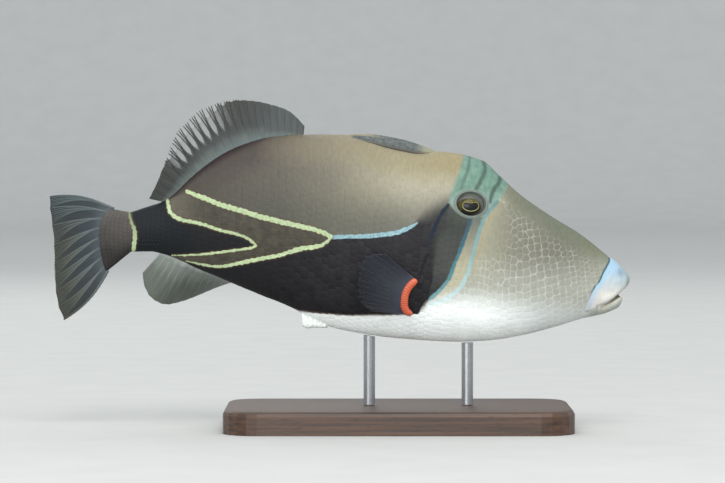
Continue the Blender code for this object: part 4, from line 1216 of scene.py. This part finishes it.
def scale_cells(skin):
    """Centres of the scales on one side, along and across the skin, with their size."""
    draw = np.random.default_rng(SCALE_SEED)
    pitch_at, lean_at, aspect_at, stagger_at, jitter_at = (
        Curve(rows) for rows in (SCALE_PITCH, SCALE_LEAN, SCALE_ASPECT, SCALE_STAGGER, SCALE_JITTER)
    )
    cells = []
    along, shift = skin.along[0] + 1.0, 0.0
    while along < LIP_ROOT_X + 1.5:
        pitch = float(pitch_at(along))
        tall = pitch * float(aspect_at(along))
        middle = np.interp(along, skin.along, skin.middle)
        girth = np.interp(along, skin.along, skin.girth)
        first, last = math.floor(-middle / tall) - 1, math.ceil((girth - middle) / tall)
        for row in range(first, last + 1):
            across = (row + shift) * tall
            if -middle + tall * 0.2 < across < girth - middle - tall * 0.2:
                off = draw.normal(0, float(jitter_at(along)), 2) * (0.5 * pitch, 1.3 * tall)
                cells.append((along + float(lean_at(along)) * across + off[0], across + off[1], pitch))
        along += pitch
        shift = (shift + float(stagger_at(along)) + draw.normal(0, 1.5 * float(jitter_at(along)))) % 1
    return np.array(cells), draw


def plate_reach(cells, angle):
    """How far each scale reaches from its centre at the angles, up to halfway to its neighbours."""
    off = cells[None, :, :2] - cells[:, None, :2]
    apart = np.hypot(off[..., 0], off[..., 1])
    near = np.argsort(apart, axis=1)[:, 1 : SCALE_NEIGHBOURS + 1]
    rows = np.arange(len(cells))[:, None]
    off, apart = off[rows, near], apart[rows, near]
    facing = off[..., :1] * np.cos(angle) + off[..., 1:] * np.sin(angle)
    walls = 2 * np.maximum(facing, 0) / apart[..., None] ** 2
    reach = ((walls**SCALE_ROUNDING).sum(axis=1) + 1e-9) ** (-1 / SCALE_ROUNDING)
    return np.minimum(reach, SCALE_FARTHEST * cells[:, 2:])


def plate_shape():
    """Corners of one scale: its angle and share of the reach there, its height, and its faces."""
    count = SCALE_CORNERS
    angle = np.concatenate([[0.0], np.tile(ring_angles(count), len(SCALE_RINGS))])
    share = np.concatenate([[0.0], np.repeat([size for size, _ in SCALE_RINGS], count)])
    height = np.concatenate([[SCALE_RINGS[0][1] * 1.08], np.repeat([lift for _, lift in SCALE_RINGS], count)])
    faces = []
    for k in range(count):
        n = (k + 1) % count
        faces.append((0, 1 + k, 1 + n))
        for level in range(len(SCALE_RINGS) - 1):
            a, b = 1 + level * count, 1 + (level + 1) * count
            faces += [(a + k, b + k, b + n), (a + k, b + n, a + n)]
    return angle, share, height, np.array(faces)


def make_scales(skin, material):
    """Domed plates over the skin, one joined mesh for each third of each side."""
    cells, draw = scale_cells(skin)
    angle, share, height, faces = plate_shape()
    reach = plate_reach(cells, angle[1 : SCALE_CORNERS + 1])
    centre = skin.sample(cells[:, 0], cells[:, 1])[0]
    keep = ~bare_places(centre)
    cells, centre, reach = cells[keep], centre[keep], reach[keep]
    count, corners = len(cells), len(share)
    reach = reach - Curve(SCALE_GROOVE)(cells[:, 0])[:, None] / 2
    reach = np.concatenate([np.zeros((count, 1)), np.tile(reach, (1, len(SCALE_RINGS)))], axis=1) * share
    off = np.stack([reach * np.cos(angle), reach * np.sin(angle)], axis=-1)
    along = (cells[:, None, 0] + off[..., 0]).ravel()
    across = (cells[:, None, 1] + off[..., 1]).ravel()
    point, normal, _, _ = skin.sample(along, across)
    uneven, lean = SCALE_TILT
    tilt = draw.normal(0, uneven, (count, 1, 2)) - np.array([lean, 0])
    lift = height * cells[:, 2:] / 2.5 + (off * tilt).sum(axis=-1) * (share < 0.99)
    point = point + normal * lift.reshape(-1, 1)
    fields = markings(point + (np.repeat(centre, corners, axis=0) - point) * SCALE_PULL)
    fields["orbit"] = eye_metric(point)
    fields["along"], fields["across"] = along, across
    upright = np.where(cells[:, :1] > EYE_SPAN[0], smooth(76.0, 58.0, cells[:, :1]), 0)
    (edge, more), (cheek_edge, cheek_more) = CELL_EDGE
    facing = edge + cheek_edge * upright + (more + cheek_more * upright) * np.cos(angle) ** 2
    fields["cell"] = (share * facing).ravel()
    fields["pick"] = np.repeat(draw.random(count), corners)
    _, _, i, j = skin.sample(cells[:, 0], cells[:, 1])
    root = np.repeat(bake_places(i, j, len(skin.along)), corners, axis=0)
    patch = np.stack([share * np.cos(angle), share * np.sin(angle)], axis=-1) * BAKE_PATCH / 2
    patch = np.tile(patch, (count, 1))
    thirds = np.array_split(np.argsort(cells[:, 0], kind="stable"), 3)
    for side, word in ((-1, "right"), (1, "left")):
        flip = np.array([1.0, -side, 1.0])
        around = root if side < 0 else root * [1, -1] + [0, 1]
        for number, chosen in enumerate(thirds):
            rows = (chosen[:, None] * corners + np.arange(corners)).ravel()
            own_faces = (np.arange(len(chosen))[:, None, None] * corners + faces[None]).reshape(-1, 3)
            own_faces = own_faces[:, ::-1] if side > 0 else own_faces
            own_fields = {key: values[rows] for key, values in fields.items()}
            bake = (around[rows] + patch[rows])[own_faces.ravel()]
            name = f"scales_{word}_{number + 1}"
            dress(make_mesh(name, point[rows] * flip, own_faces, own_fields, bake), material)


def bare_places(centre):
    """Where no scale sits: lips, orbit, nostrils and the trough of the first dorsal fin."""
    fields = markings(centre)
    x, y, z = centre.T
    bare = (fields["lip"] < BARE_LIP) | (fields["nostril"] < BARE_NOSTRIL)
    bare |= (fields["orbit"] < BARE_ORBIT) | (x > BARE_SNOUT)
    half_width, rear, front = BARE_TROUGH
    return bare | (np.abs(y) < half_width) & (z > BACK_ABOVE) & (x > rear) & (x < front)


def dorsal_route(place, t):
    return median_route(DORSAL_RAYS, 1, place, t)


def anal_route(place, t):
    return median_route(ANAL_RAYS, -1, place, t)


def median_route(rays, upward, place, t):
    """Points of a soft fin on the back or the belly, from its root at t 0 to its margin at t 1."""
    first, last = rays[0][0], rays[-1][0]
    x = first + (last - first) * place
    length, back, left = np.moveaxis(Curve(sorted(rays))(x), -1, 0)
    back, left = np.radians(back), np.radians(left)
    ray = points_of(-np.sin(back) * np.cos(left), np.sin(left), upward * np.cos(back) * np.cos(left))
    if upward > 0:
        root = points_of(x, 0, BACK(x))
    else:
        aside = ANAL_SIDESTEP * np.sin(left) ** 2
        root = points_of(x, aside, underside(x, aside))
    reach = (length + FIN_ROOT_SINK) * t - FIN_ROOT_SINK
    return root + ray * reach[..., None]


def caudal_route(place, t):
    """Points of the tail fin, which sweeps to the left towards its margin."""
    arc, rear = Curve(TAIL_ARC)(place), Curve(TAIL_REAR)(place)
    base = points_of(arc[..., 0], 0, arc[..., 1])
    tip = points_of(rear[..., 0], 0, rear[..., 1])
    ahead = unit(tip - base)
    start = base - ahead * FIN_ROOT_SINK
    outward = points_of(ahead[..., 2], 0, -ahead[..., 0])
    upper, lower = TAIL_EDGE_BULGE
    bulge = upper * np.maximum(0, 1 - 2 * place) ** 2 - lower * np.maximum(0, 2 * place - 1) ** 2
    point = start + (tip - start) * t[..., None] + outward * (bulge * np.sin(math.pi * t * 0.9))[..., None]
    point[..., 1] += TAIL_SWEEP * t**1.5
    return point


def pectoral_route(place, t):
    """Points of the right pectoral fin, laid back along the flank and standing off it at its margin."""
    root, tips = Curve(PECTORAL_ROOT)(place), Curve(PECTORAL_TIPS)(place)
    place_now = root + (tips - root) * t[..., None]
    point, outward = flank(place_now[..., 0], place_now[..., 1], -1)
    off = PECTORAL_LIFT + PECTORAL_SPREAD * t**1.3
    point[..., 1] += off / outward[..., 1]
    return point


def surface_normals(points):
    return unit(np.cross(np.gradient(points, axis=0), np.gradient(points, axis=1)) + 1e-12)


def rays_at(rays, t):
    """Places of the rays at t, from the root at 0 to the margin at 1."""
    return rays[0] + (rays[1] - rays[0]) * t


def make_membrane(name, route, rays, dents):
    """Thin membrane, its margin dented between rays by shares of its height, the second where it is ragged.

    Fields: reach to the margin, nearness to a ray, place along the fin.
    """
    numbers = np.arange(rays.shape[1])
    place = np.linspace(0, 1, MEMBRANE_COLUMNS * numbers[-1] + 1)
    t = np.linspace(0, 1, MEMBRANE_ROWS)
    index = np.stack([np.interp(place, rays_at(rays, s), numbers) for s in t], axis=1)
    near = 1 - 2 * np.abs(index - np.round(index))
    ragged = smooth(*DORSAL_GAPS[:2], place) * smooth(*DORSAL_GAPS[:1:-1], place)
    dent = dents[0] + (dents[1] - dents[0]) * ragged
    cut = dent[:, None] * (1 - near[:, -1:] ** 2)
    grid_place, grid_t = np.broadcast_arrays(place[:, None], t[None, :] * (1 - cut))
    middle = route(grid_place, grid_t)
    normal = surface_normals(middle)
    thick, thin = MEMBRANE_HALF
    ends = np.sqrt(4 * grid_place * (1 - grid_place))
    half = thin + (thick - thin) * (1 - grid_t) + (MEMBRANE_ROOT_HALF - thick) * (1 - grid_t) ** 6 * ends
    half[:, -1] *= MEMBRANE_EDGE
    top, under = middle + normal * half[..., None], middle - normal * half[..., None]
    columns, other = len(place), len(place) * MEMBRANE_ROWS
    faces = grid_faces(columns, MEMBRANE_ROWS)
    grid = np.arange(other).reshape(columns, MEMBRANE_ROWS)
    rim = [*grid[:, 0], *grid[-1, 1:], *grid[-2::-1, -1], *grid[0, -2:0:-1]]
    band = [(a, other + a, other + b, b) for a, b in zip(rim, rim[1:] + rim[:1])]
    points = np.concatenate([top.reshape(-1, 3), under.reshape(-1, 3)])
    fields = {"reach": np.broadcast_to(t, near.shape), "ray": near, "place": grid_place}
    fields = {key: np.tile(values.ravel(), 2) for key, values in fields.items()}
    return make_mesh(name, points, np.concatenate([faces, faces[:, ::-1] + other, np.array(band)]), fields)


def branch_place(branches, number, t):
    """Place of a branch at t, in ray spacings from the ray's middle."""
    parent, fork, end, _ = branches[number]
    if parent < 0:
        return end * t**2
    start = branch_place(branches, parent, fork)
    return start + (end - start) * (t - fork) / (1 - fork)


def make_rays(name, route, rays, radii, flatness, branches):
    """Bony rays as tapered tubes that fork. Fields: reach to the tip, and place along the fin."""
    root_radius, tip_radius = radii
    draw = np.random.default_rng(RAY_SEED)
    points, faces, reach, places = [], [], [], []
    angle = ring_angles(RAY_SIDES)[None, :, None]
    tube = tube_faces(RAY_STEPS, RAY_SIDES)
    numbers = np.arange(rays.shape[1])
    for ray in numbers:
        length = 1.0 + draw.normal(0, RAY_UNEVENNESS)
        for number, (_, fork, _, size) in enumerate(branches):
            t = np.linspace(fork, 1, RAY_STEPS)
            index = ray + branch_place(branches, number, t)
            place = np.array([np.interp(i, numbers, rays_at(rays, s)) for i, s in zip(index, t)])
            path = route(place, t * length)
            ahead = unit(np.gradient(path, axis=0))
            beside = route(np.clip(place + 0.01, 0, 1), t) - route(np.clip(place - 0.01, 0, 1), t)
            outward = unit(np.cross(ahead, beside))
            aside = np.cross(outward, ahead) * flatness
            radius = size * (tip_radius + (root_radius - tip_radius) * (1 - t) ** 1.2)
            radius *= 1 + RAY_JOINTS * np.cos(np.arange(RAY_STEPS) * math.pi)
            radius[-1] *= RAY_POINT
            off = aside[:, None] * np.cos(angle) - outward[:, None] * np.sin(angle)
            start = len(points) * RAY_STEPS * RAY_SIDES
            faces += [[corner + start for corner in face] for face in tube]
            points.append(path[:, None] + off * radius[:, None, None])
            reach.append(np.repeat(t, RAY_SIDES))
            places.append(np.repeat(place, RAY_SIDES))
    fields = {"reach": np.concatenate(reach), "place": np.concatenate(places)}
    return make_mesh(name, np.concatenate(points).reshape(-1, 3), faces, fields)


def fin_material(name, stops, front, clear, gaps=NO_GAPS):
    """Membrane: colours from root to margin, streaked along its rays.

    front is its colour near the first ray, clear its opacity at the margin, and gaps the places over which
    the gaps between its rays' tips come in and go out.
    """
    p = Paint(name, Roughness=0.45, Specular_IOR_Level=0.25)
    reach, ray, place = p.field("reach"), p.field("ray"), p.field("place")
    mottle = p.noise(380.0, detail=4.0)
    ahead = p.times(p.step(place, 0.4, 0.1), p.step(reach, 0.1, 0.4))
    colour = p.mix(ahead, p.ramp(p.plus(reach, p.swing(mottle, 0.2)), stops), linear(*front))
    streaks = p.stretched((place, reach), (STREAKS, 1.5), 2.0, 0.6)
    colour = p.brighten(colour, p.plus(0.55, p.times(streaks, 0.9)))
    off = p.times(p.minus(1.0, ray), 0.5)
    group = p.plus(0.04, p.times(0.28, p.math("POWER", reach, 2.0)))
    pointed = p.plus(reach, p.swing(off, 0.5))
    gap = p.times(p.step(p.minus(off, group), 0.0, 0.1), p.step(pointed, 0.38, 0.58))
    inner = p.times(p.step(reach, 0.55, 0.82), 0.8)
    thin = p.larger(p.times(gap, 0.92), inner)
    coming, come, going, gone = gaps
    gapped = p.times(p.step(place, coming, come), p.step(place, gone, going))
    opacity = p.blend(p.step(reach, 0.25, 1.0), 1.0, clear)
    opacity = p.times(opacity, p.minus(1.0, p.times(thin, gapped)))
    return p.finish(colour, ((streaks, 0.3, 0.0002),), alpha=opacity)


def ray_material(name, stops, front):
    """Bony rays, ringed by their joints."""
    p = Paint(name, Roughness=0.45, Specular_IOR_Level=0.25)
    reach, place = p.field("reach"), p.field("place")
    rings = p.stretched((reach, place), (60.0, 40.0))
    ahead = p.times(p.step(place, 0.45, 0.1), p.step(reach, 0.1, 0.4))
    colour = p.mix(ahead, p.ramp(reach, stops), linear(*front))
    colour = p.brighten(colour, p.plus(0.82, p.times(rings, 0.36)))
    return p.finish(colour, ((rings, 0.4, 0.0001),))


def make_median_fins():
    """Soft dorsal, anal and tail fins."""
    dorsal = (
        fin_material("dorsal_membrane", (
            (0, 98, 111, 108), (0.16, 86, 96, 92), (0.38, 54, 58, 56), (1, 58, 58, 53),
        ), (74, 79, 78), 0.9, DORSAL_GAPS),
        ray_material("dorsal_rays", (
            (0, 98, 109, 105), (0.22, 76, 83, 80), (0.45, 50, 53, 51), (1, 54, 56, 51),
        ), (76, 82, 81)),
    )
    anal = (
        fin_material("anal_membrane", (
            (0, 180, 187, 182), (0.14, 128, 136, 129), (0.5, 106, 113, 105), (1, 102, 108, 98),
        ), (98, 107, 99), 0.8),
        ray_material("anal_rays", (
            (0, 188, 194, 190), (0.25, 144, 152, 144), (0.6, 116, 124, 116), (1, 108, 114, 104),
        ), (122, 131, 123)),
    )
    caudal = (
        fin_material("caudal_membrane", (
            (0, 80, 88, 91), (0.25, 60, 67, 72), (0.6, 54, 60, 61), (0.85, 56, 59, 56), (1, 72, 73, 64),
        ), (52, 60, 61), 0.85),
        ray_material("caudal_rays", (
            (0, 86, 96, 100), (0.25, 104, 114, 113), (0.6, 95, 100, 93), (1, 78, 78, 67),
        ), (90, 100, 100)),
    )
    # Name, route, dents of the margin, radii of the rays at root and tip, their flatness and forks, the slot
    rows = (
        ("dorsal", dorsal_route, (0.012, 0.2), (0.24, 0.16), 1.1, BRANCHES, "dark_fins", dorsal),
        ("anal", anal_route, (0.01, 0.01), (0.24, 0.12), 1.1, BRANCHES, "pale_fins", anal),
        ("caudal", caudal_route, (0.012, 0.012), (0.42, 0.2), 1.3, CAUDAL_BRANCHES, "dark_fins", caudal),
    )
    for name, route, dents, radii, flatness, branches, slot, (membrane, bones) in rows:
        rays = RAY_PLACES[name]
        dress(make_membrane(f"{name}_fin_membrane", route, rays, dents), membrane, (f"{name}_fin",))
        dress(make_rays(f"{name}_fin_rays", route, rays, radii, flatness, branches), bones)


def mirror(obj, name):
    """The same piece on the left side."""
    mesh = obj.data.copy()
    points = np.zeros(len(mesh.vertices) * 3, np.float32)
    mesh.vertices.foreach_get("co", points)
    points[1::3] *= -1
    mesh.vertices.foreach_set("co", points)
    mesh.flip_normals()
    return add_object(name, mesh)


def bar_material():
    """Red-orange ribs of the pectoral fin's root."""
    p = Paint("pectoral_bar", Roughness=0.4, Specular_IOR_Level=0.4)
    mottle = p.noise(900.0, detail=2.0)
    rib = p.step(p.field("rib"), 0.15, 0.7)
    colour = p.mix(rib, linear(204, 92, 64), linear(232, 112, 76))
    colour = p.mix(p.step(p.field("side"), 0.8, 1.0), colour, linear(120, 62, 56))
    colour = p.brighten(colour, p.plus(0.85, p.times(mottle, 0.3)))
    return p.finish(colour, ((mottle, 0.3, 0.0001),))


def make_bar():
    """The curved bar along the pectoral fin's root, ribbed by the rays' heads."""
    steps, around = 170, 16
    place = np.linspace(0, 1, steps)
    root = Curve(BAR_LINE)(place)
    point, outward = flank(root[:, 0], root[:, 1], -1)
    ahead = unit(np.gradient(point, axis=0))
    aside = np.cross(outward, ahead)
    rib = np.abs(np.sin(place * BAR_RIBS * math.pi))
    taper = np.sqrt(np.clip(1 - (2 * place - 1) ** 12, 0.02, 1))
    wide = BAR_HALF[0] * taper * (0.97 + 0.03 * rib)
    tall = BAR_HALF[1] * taper * (1 + 0.08 * rib)
    angle = ring_angles(around)
    middle = (point + outward * BAR_STANDS_OFF)[:, None]
    grid = middle + aside[:, None] * (wide[:, None] * np.cos(angle))[..., None]
    grid -= outward[:, None] * (tall[:, None] * np.sin(angle))[..., None]
    side = np.tile(np.abs(np.cos(angle)), steps)
    return make_mesh("pectoral_bar_right", grid.reshape(-1, 3), tube_faces(steps, around), {
        "rib": np.repeat(rib, around), "side": side,
    })


def make_pectorals():
    rays = RAY_PLACES["pectoral"]
    membrane = fin_material("pectoral_membrane", (
        (0, 72, 76, 88), (0.3, 55, 58, 67), (0.7, 48, 50, 58), (1, 42, 43, 49),
    ), (48, 51, 60), 0.6)
    bones = ray_material("pectoral_rays", (
        (0, 96, 100, 111), (0.25, 76, 80, 90), (0.5, 54, 57, 65), (1, 44, 45, 51),
    ), (54, 58, 67))
    membrane_piece = make_membrane("pectoral_fin_membrane", pectoral_route, rays, (0.03, 0.03))
    bone_piece = make_rays("pectoral_fin_rays", pectoral_route, rays, (0.2, 0.08), 1.1, PECTORAL_BRANCHES)
    pieces = (
        (membrane_piece, membrane, True),
        (bone_piece, bones, False),
        (make_bar(), bar_material(), False),
    )
    for obj, material, replaces in pieces:
        name = obj.name.replace("_right", "")
        left = mirror(obj, f"{name}_left")
        obj.name = f"{name}_right"
        for piece, side in ((obj, "right"), (left, "left")):
            dress(piece, material, (f"pectoral_fin_{side}",) if replaces else ())


def eye_material():
    """Grey-brown dome, dark iris with gold, and a black pupil inside a thin gold ring, under a wet gloss."""
    p = Paint("eye", Roughness=0.4, Specular_IOR_Level=0.2, Coat_Weight=0.15, Coat_Roughness=0.12)
    fleck = p.noise(1300.0, detail=3.0, roughness=0.65)
    ahead, above, iris_off, pupil_off = (p.field(name) for name in ("ahead", "above", "iris", "pupil"))
    dome = p.ramp(fleck, ((0.3, 78, 80, 73), (0.7, 96, 99, 90)))
    dome = p.mix(p.step(iris_off, 0.35, 0.0), dome, linear(70, 66, 52))
    dome = p.mix(p.step(p.field("rim"), -0.5, -0.25), dome, linear(124, 131, 122))
    iris = p.ramp(fleck, ((0.35, 14, 14, 12), (0.65, 36, 34, 24)))
    gold = p.times(p.step(above, -0.1, 0.6), p.step(p.math("ABSOLUTE", ahead), 3.6, 1.6))
    gold = p.larger(gold, p.times(p.step(ahead, -2.8, -3.8), 0.7))
    iris = p.mix(p.times(gold, p.step(fleck, 0.3, 0.6)), iris, linear(104, 96, 40))
    colour = p.mix(p.inside(iris_off, 0.15), dome, iris)
    ring = p.step(p.math("ABSOLUTE", p.minus(pupil_off, 0.08)), 0.17, 0.05)
    gold_ring = p.ramp(above, ((-2.6, 196, 196, 136), (-0.8, 140, 134, 70), (1.0, 160, 152, 66)))
    colour = p.mix(ring, colour, gold_ring)
    colour = p.mix(p.inside(pupil_off, 0.05), colour, linear(7, 8, 9))
    return p.finish(colour, ((fleck, 0.1, 0.0001),))


def ellipse_distance(ahead, above, centre, radii):
    """Rough signed distance to an ellipse, below 0 inside."""
    metric = np.hypot((ahead - centre[0]) / radii[0], (above - centre[1]) / radii[1])
    return (metric - 1) * min(radii)


def make_eyes():
    """Eyeballs: a dome with the cornea's bulge over iris and pupil."""
    around, rings = 120, 84
    angle = ring_angles(around)
    turn = np.linspace(0.012, math.pi - 0.012, rings)
    ahead = np.outer(np.sin(turn), np.cos(angle)) * EYE_HALF[0]
    above = np.outer(np.sin(turn), np.sin(angle)) * EYE_HALF[1]
    out = np.repeat(np.cos(turn)[:, None], around, axis=1) * EYE_HALF[2]
    iris = ellipse_distance(ahead, above, IRIS_CENTRE, IRIS_RADII)
    pupil = ellipse_distance(ahead, above, PUPIL_CENTRE, PUPIL_RADII)
    reach, dip, dip_half = PUPIL_BROW
    brow = PUPIL_CENTRE[1] + PUPIL_RADII[1] * reach - dip * bell(ahead, PUPIL_CENTRE[0], dip_half)
    pupil = np.maximum(pupil, above - brow)
    bulge, moat = CORNEA
    out += np.where(out > 0, bulge * smooth(0.3, -1.2, iris) - moat * bell(iris, 0.15, 0.3), 0)
    middle = EYE.middle - EYE.outward * EYE_SINK
    points = middle + np.stack([ahead, above, out], axis=-1) @ np.array([EYE.ahead, EYE.upward, EYE.outward])
    rim = (np.sin(turn)[:, None] - 1) * EYE_HALF[1] + np.zeros_like(ahead)
    fields = {"ahead": ahead, "above": above, "iris": iris, "pupil": pupil, "rim": rim}
    fields = {key: values.ravel() for key, values in fields.items()}
    eye = make_mesh("eyeball_right", points.reshape(-1, 3), tube_faces(rings, around), fields)
    left = mirror(eye, "eyeball_left")
    material = eye_material()
    dress(eye, material, ("eye_right",))
    dress(left, material, ("eye_left",))


def folded_fin_material():
    """Blue-grey mottled membrane with darker folds, reddish brown at its foot."""
    p = Paint("folded_fin", Roughness=0.5, Specular_IOR_Level=0.3)
    x = p.axes()[0]
    level = p.field("level")
    streak = p.stretched((x, level), (0.35, 5.0), 3.0, 0.6)
    mottle = p.noise(850.0, detail=3.0, roughness=0.65)
    colour = p.ramp(p.blend(0.85, streak, mottle), (
        (0.38, 64, 71, 73), (0.5, 88, 96, 94), (0.62, 109, 117, 111),
    ))
    colour = p.mix(p.step(x, 25.0, 31.0), colour, linear(152, 150, 126))
    foot = p.ramp(x, ((4, 112, 110, 94), (16, 84, 80, 72), (26, 84, 76, 68), (31, 112, 90, 72)))
    colour = p.mix(p.times(p.step(level, 0.48, 0.36), 0.8), colour, foot)
    rim = p.times(p.step(x, 16.0, 8.0), p.step(level, 0.72, 0.86))
    colour = p.mix(p.larger(rim, p.step(x, 5.0, 3.4)), colour, linear(146, 138, 114))
    return p.finish(colour, ((streak, 0.15, 0.0002),))


def make_folded_fin():
    """First dorsal fin laid in its trough, as a folded membrane with long shallow ridges."""
    steps, levels = 120, 34
    x = np.linspace(FOLDED_FIN_TOP[0][0], FOLDED_FIN_TOP[-1][0], steps)
    top = FOLDED_TOP(x)
    foot = BACK(x) - FOLDED_FIN_SINK
    share = (x - x[0]) / (x[-1] - x[0])
    taper = np.minimum(smooth(-0.12, 0.16, share), smooth(1.08, 0.86, share))
    level = np.linspace(0, 1, levels)
    profile = np.interp(level, *FOLDED_PROFILE)
    folds = FOLDS[0] * np.sin(level * FOLDS[1]) * smooth(1.0, 0.8, level)
    half = FOLDED_FIN_HALF * taper[:, None] * (profile + folds)[None, :]
    z = foot[:, None] + (top - foot)[:, None] * level[None, :]
    right = points_of(x[:, None], -half, z)
    grid = np.concatenate([right, (right[:, ::-1] * MIRROR)[:, 1:]], axis=1)
    field = np.concatenate([level, level[::-1][1:]])
    columns = grid.shape[1]
    obj = make_mesh("first_dorsal_fin_folded", grid.reshape(-1, 3), tube_faces(steps, columns), {
        "level": np.tile(field, steps),
    })
    return dress(obj, folded_fin_material(), ("first_dorsal_fin",))


def knob_material():
    p = Paint("pelvic_scales", Roughness=0.5)
    mottle = p.noise(1200.0, detail=3.0)
    colour = p.ramp(mottle, ((0.3, 208, 212, 207), (0.7, 232, 236, 231)))
    return p.finish(colour, ((mottle, 0.5, 0.0003),), shade=1.0)


def make_knob():
    """Rough scales round the end of the pelvis."""
    foot = Curve(KNOB_FOOT)
    steps, around = 60, 28
    x = np.linspace(KNOB_FOOT[0][0], KNOB_FOOT[-1][0], steps)
    top = BELLY(x) + 0.8
    low = np.minimum(foot(x), BELLY(x) - 0.2)
    share = (x - x[0]) / (x[-1] - x[0])
    ends = smooth(-0.02, 0.12, share) * smooth(1.02, 0.9, share)
    swell, count = KNOB_STEPS
    half = KNOB_HALF * (1 + swell * np.sin(ring_angles(steps) * count)) * (0.4 + 0.6 * ends)
    angle = ring_angles(around)
    wide = np.sign(np.cos(angle)) * np.abs(np.cos(angle)) ** 0.8
    tall = np.sign(np.sin(angle)) * np.abs(np.sin(angle)) ** 0.9
    y = -half[:, None] * wide[None, :]
    z = (top + low)[:, None] / 2 + (top - low)[:, None] / 2 * tall[None, :]
    grid = points_of(x[:, None], y, z)
    obj = make_mesh("pelvic_knob", grid.reshape(-1, 3), tube_faces(steps, around))
    return dress(obj, knob_material(), ("pelvic_terminus",))


def spine_material():
    p = Paint("peduncle_spines", Roughness=0.35)
    mottle = p.noise(2500.0)
    return p.finish(p.ramp(mottle, ((0.3, 20, 20, 22), (0.7, 46, 46, 48))), ((mottle, 0.3, 0.0001),))


def make_peduncle_spines():
    """Rows of small hooked spines on each side of the peduncle, pointing ahead."""
    half, reach, height = SPINE_SIZE
    sides, steps = 8, 5
    points, faces = [], []
    t = np.linspace(0, 1, steps)
    for side in (-1, 1):
        for number, z in enumerate(SPINE_HEIGHTS):
            for x in np.arange(SPINE_SPAN[0] + 0.4 * (number % 2), SPINE_SPAN[1], SPINE_PITCH):
                root, outward = flank(x, z, side)
                ahead = unit(np.array([1.0, 0, 0]) - outward * outward[0])
                upward = np.cross(outward, ahead)
                start = len(points)
                for s in t:
                    lift = (height + SPINE_SINK) * s - SPINE_SINK
                    centre = root + outward * lift + ahead * reach * s**1.5
                    radius = half * (1 - 0.93 * s)
                    for k in range(sides):
                        angle = math.tau * k / sides
                        off = ahead * math.cos(angle) * 1.5 - upward * math.sin(angle)
                        points.append(centre + off * radius)
                faces += [[corner + start for corner in face] for face in tube_faces(steps, sides)]
    obj = make_mesh("peduncle_spines", points, faces)
    return dress(obj, spine_material())


def stand_materials():
    """Dark satin wood and brushed steel on the stand's own nodes."""
    wood = Paint("stand_wood", Roughness=0.4, Specular_IOR_Level=0.4)
    place = wood.axes()
    rings = wood.stretched(place, (0.02, 0.45, 1.0), 5.0, 0.6)
    pores = wood.stretched(place, (0.25, 5.0, 1.0), 2.0)
    colour = wood.ramp(rings, ((0.3, 52, 36, 26), (0.5, 78, 54, 38), (0.68, 98, 70, 50)))
    colour = wood.mix(wood.times(wood.step(pores, 0.58, 0.7), 0.5), colour, linear(36, 24, 18))
    wood.finish(colour, ((pores, 0.2, 0.0002), (rings, 0.15, 0.0003)), wood.blend(rings, 0.34, 0.5))
    steel = Paint("stand_steel", Metallic=1.0, Roughness=0.3)
    brushed = steel.stretched(steel.axes(), (1.0, 1.0, 14.0), 3.0, 0.6)
    colour = steel.ramp(brushed, ((0.3, 150, 152, 154), (0.7, 196, 197, 198)))
    steel.finish(colour, ((brushed, 0.2, 0.0001),), steel.blend(brushed, 0.22, 0.42))
    for name, paint in (("stand_base", wood), ("stand_rod_front", steel), ("stand_rod_rear", steel)):
        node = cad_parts[name]
        node.data.materials.clear()
        node.data.materials.append(paint.material)


def make_stage():
    """Pale floor that curves up into a backdrop behind."""
    p = Paint("backdrop", Roughness=0.9, Specular_IOR_Level=0.05)
    paper = p.noise(40.0, detail=4.0)
    p.finish(p.ramp(paper, ((0.35, 176, 176, 172), (0.65, 179, 179, 175))), shade=1.0)
    width, near, far, turn, tall = FLOOR
    profile = [(near, 0.0), (far, 0.0)]
    for k in range(1, 17):
        angle = k / 16 * math.pi / 2
        profile.append((far + turn * math.sin(angle), turn * (1 - math.cos(angle))))
    profile.append((far + turn, tall))
    profile = np.array(profile)
    points = np.concatenate([points_of(side * width / 2, profile[:, 0], profile[:, 1]) for side in (-1, 1)])
    obj = make_mesh("floor", points, grid_faces(2, len(profile)))
    obj.data.materials.append(p.material)


def make_lights():
    """Large soft lights: most from the camera's side, weaker ones from above, below and behind."""
    for name, place, size, power, tint in LIGHTS:
        light = bpy.data.lights.new(name, "AREA")
        light.shape = "SQUARE"
        light.size = size
        light.energy = power
        light.color = tint
        aim(add_object(name, light), place, Vector(LIGHT_TARGET))
    world = bpy.data.worlds.new("studio")
    world.use_nodes = True
    sky = world.node_tree.nodes["Background"].inputs
    sky["Color"].default_value, sky["Strength"].default_value = SKY
    bpy.context.scene.world = world


def make_camera():
    """Level side view of the right flank, framed as the photograph."""
    distance_away = VIEW_DISTANCE * MM
    width, height = IMAGE_SIZE
    centre = side_place([(width / 2, height / 2)])[0] * MM
    target = Vector((centre[0], 0.0, centre[1]))
    camera = bpy.data.cameras.new("camera")
    camera.sensor_width = 36.0
    camera.lens = camera.sensor_width * distance_away / (width * PIXEL * MM)
    obj = add_object("camera", camera)
    back = Vector((0.0, -math.cos(VIEW_TILT), math.sin(VIEW_TILT)))
    aim(obj, target + back * distance_away, target)
    bpy.context.scene.camera = obj


def main():
    skin = Skin()
    material = skin_material()
    make_skin(skin, material)
    make_scales(skin, material)
    make_eyes()
    make_median_fins()
    make_pectorals()
    make_folded_fin()
    make_knob()
    make_peduncle_spines()
    stand_materials()
    make_stage()
    make_lights()
    make_camera()
    bpy.context.scene.view_settings.view_transform = "Standard"


main()
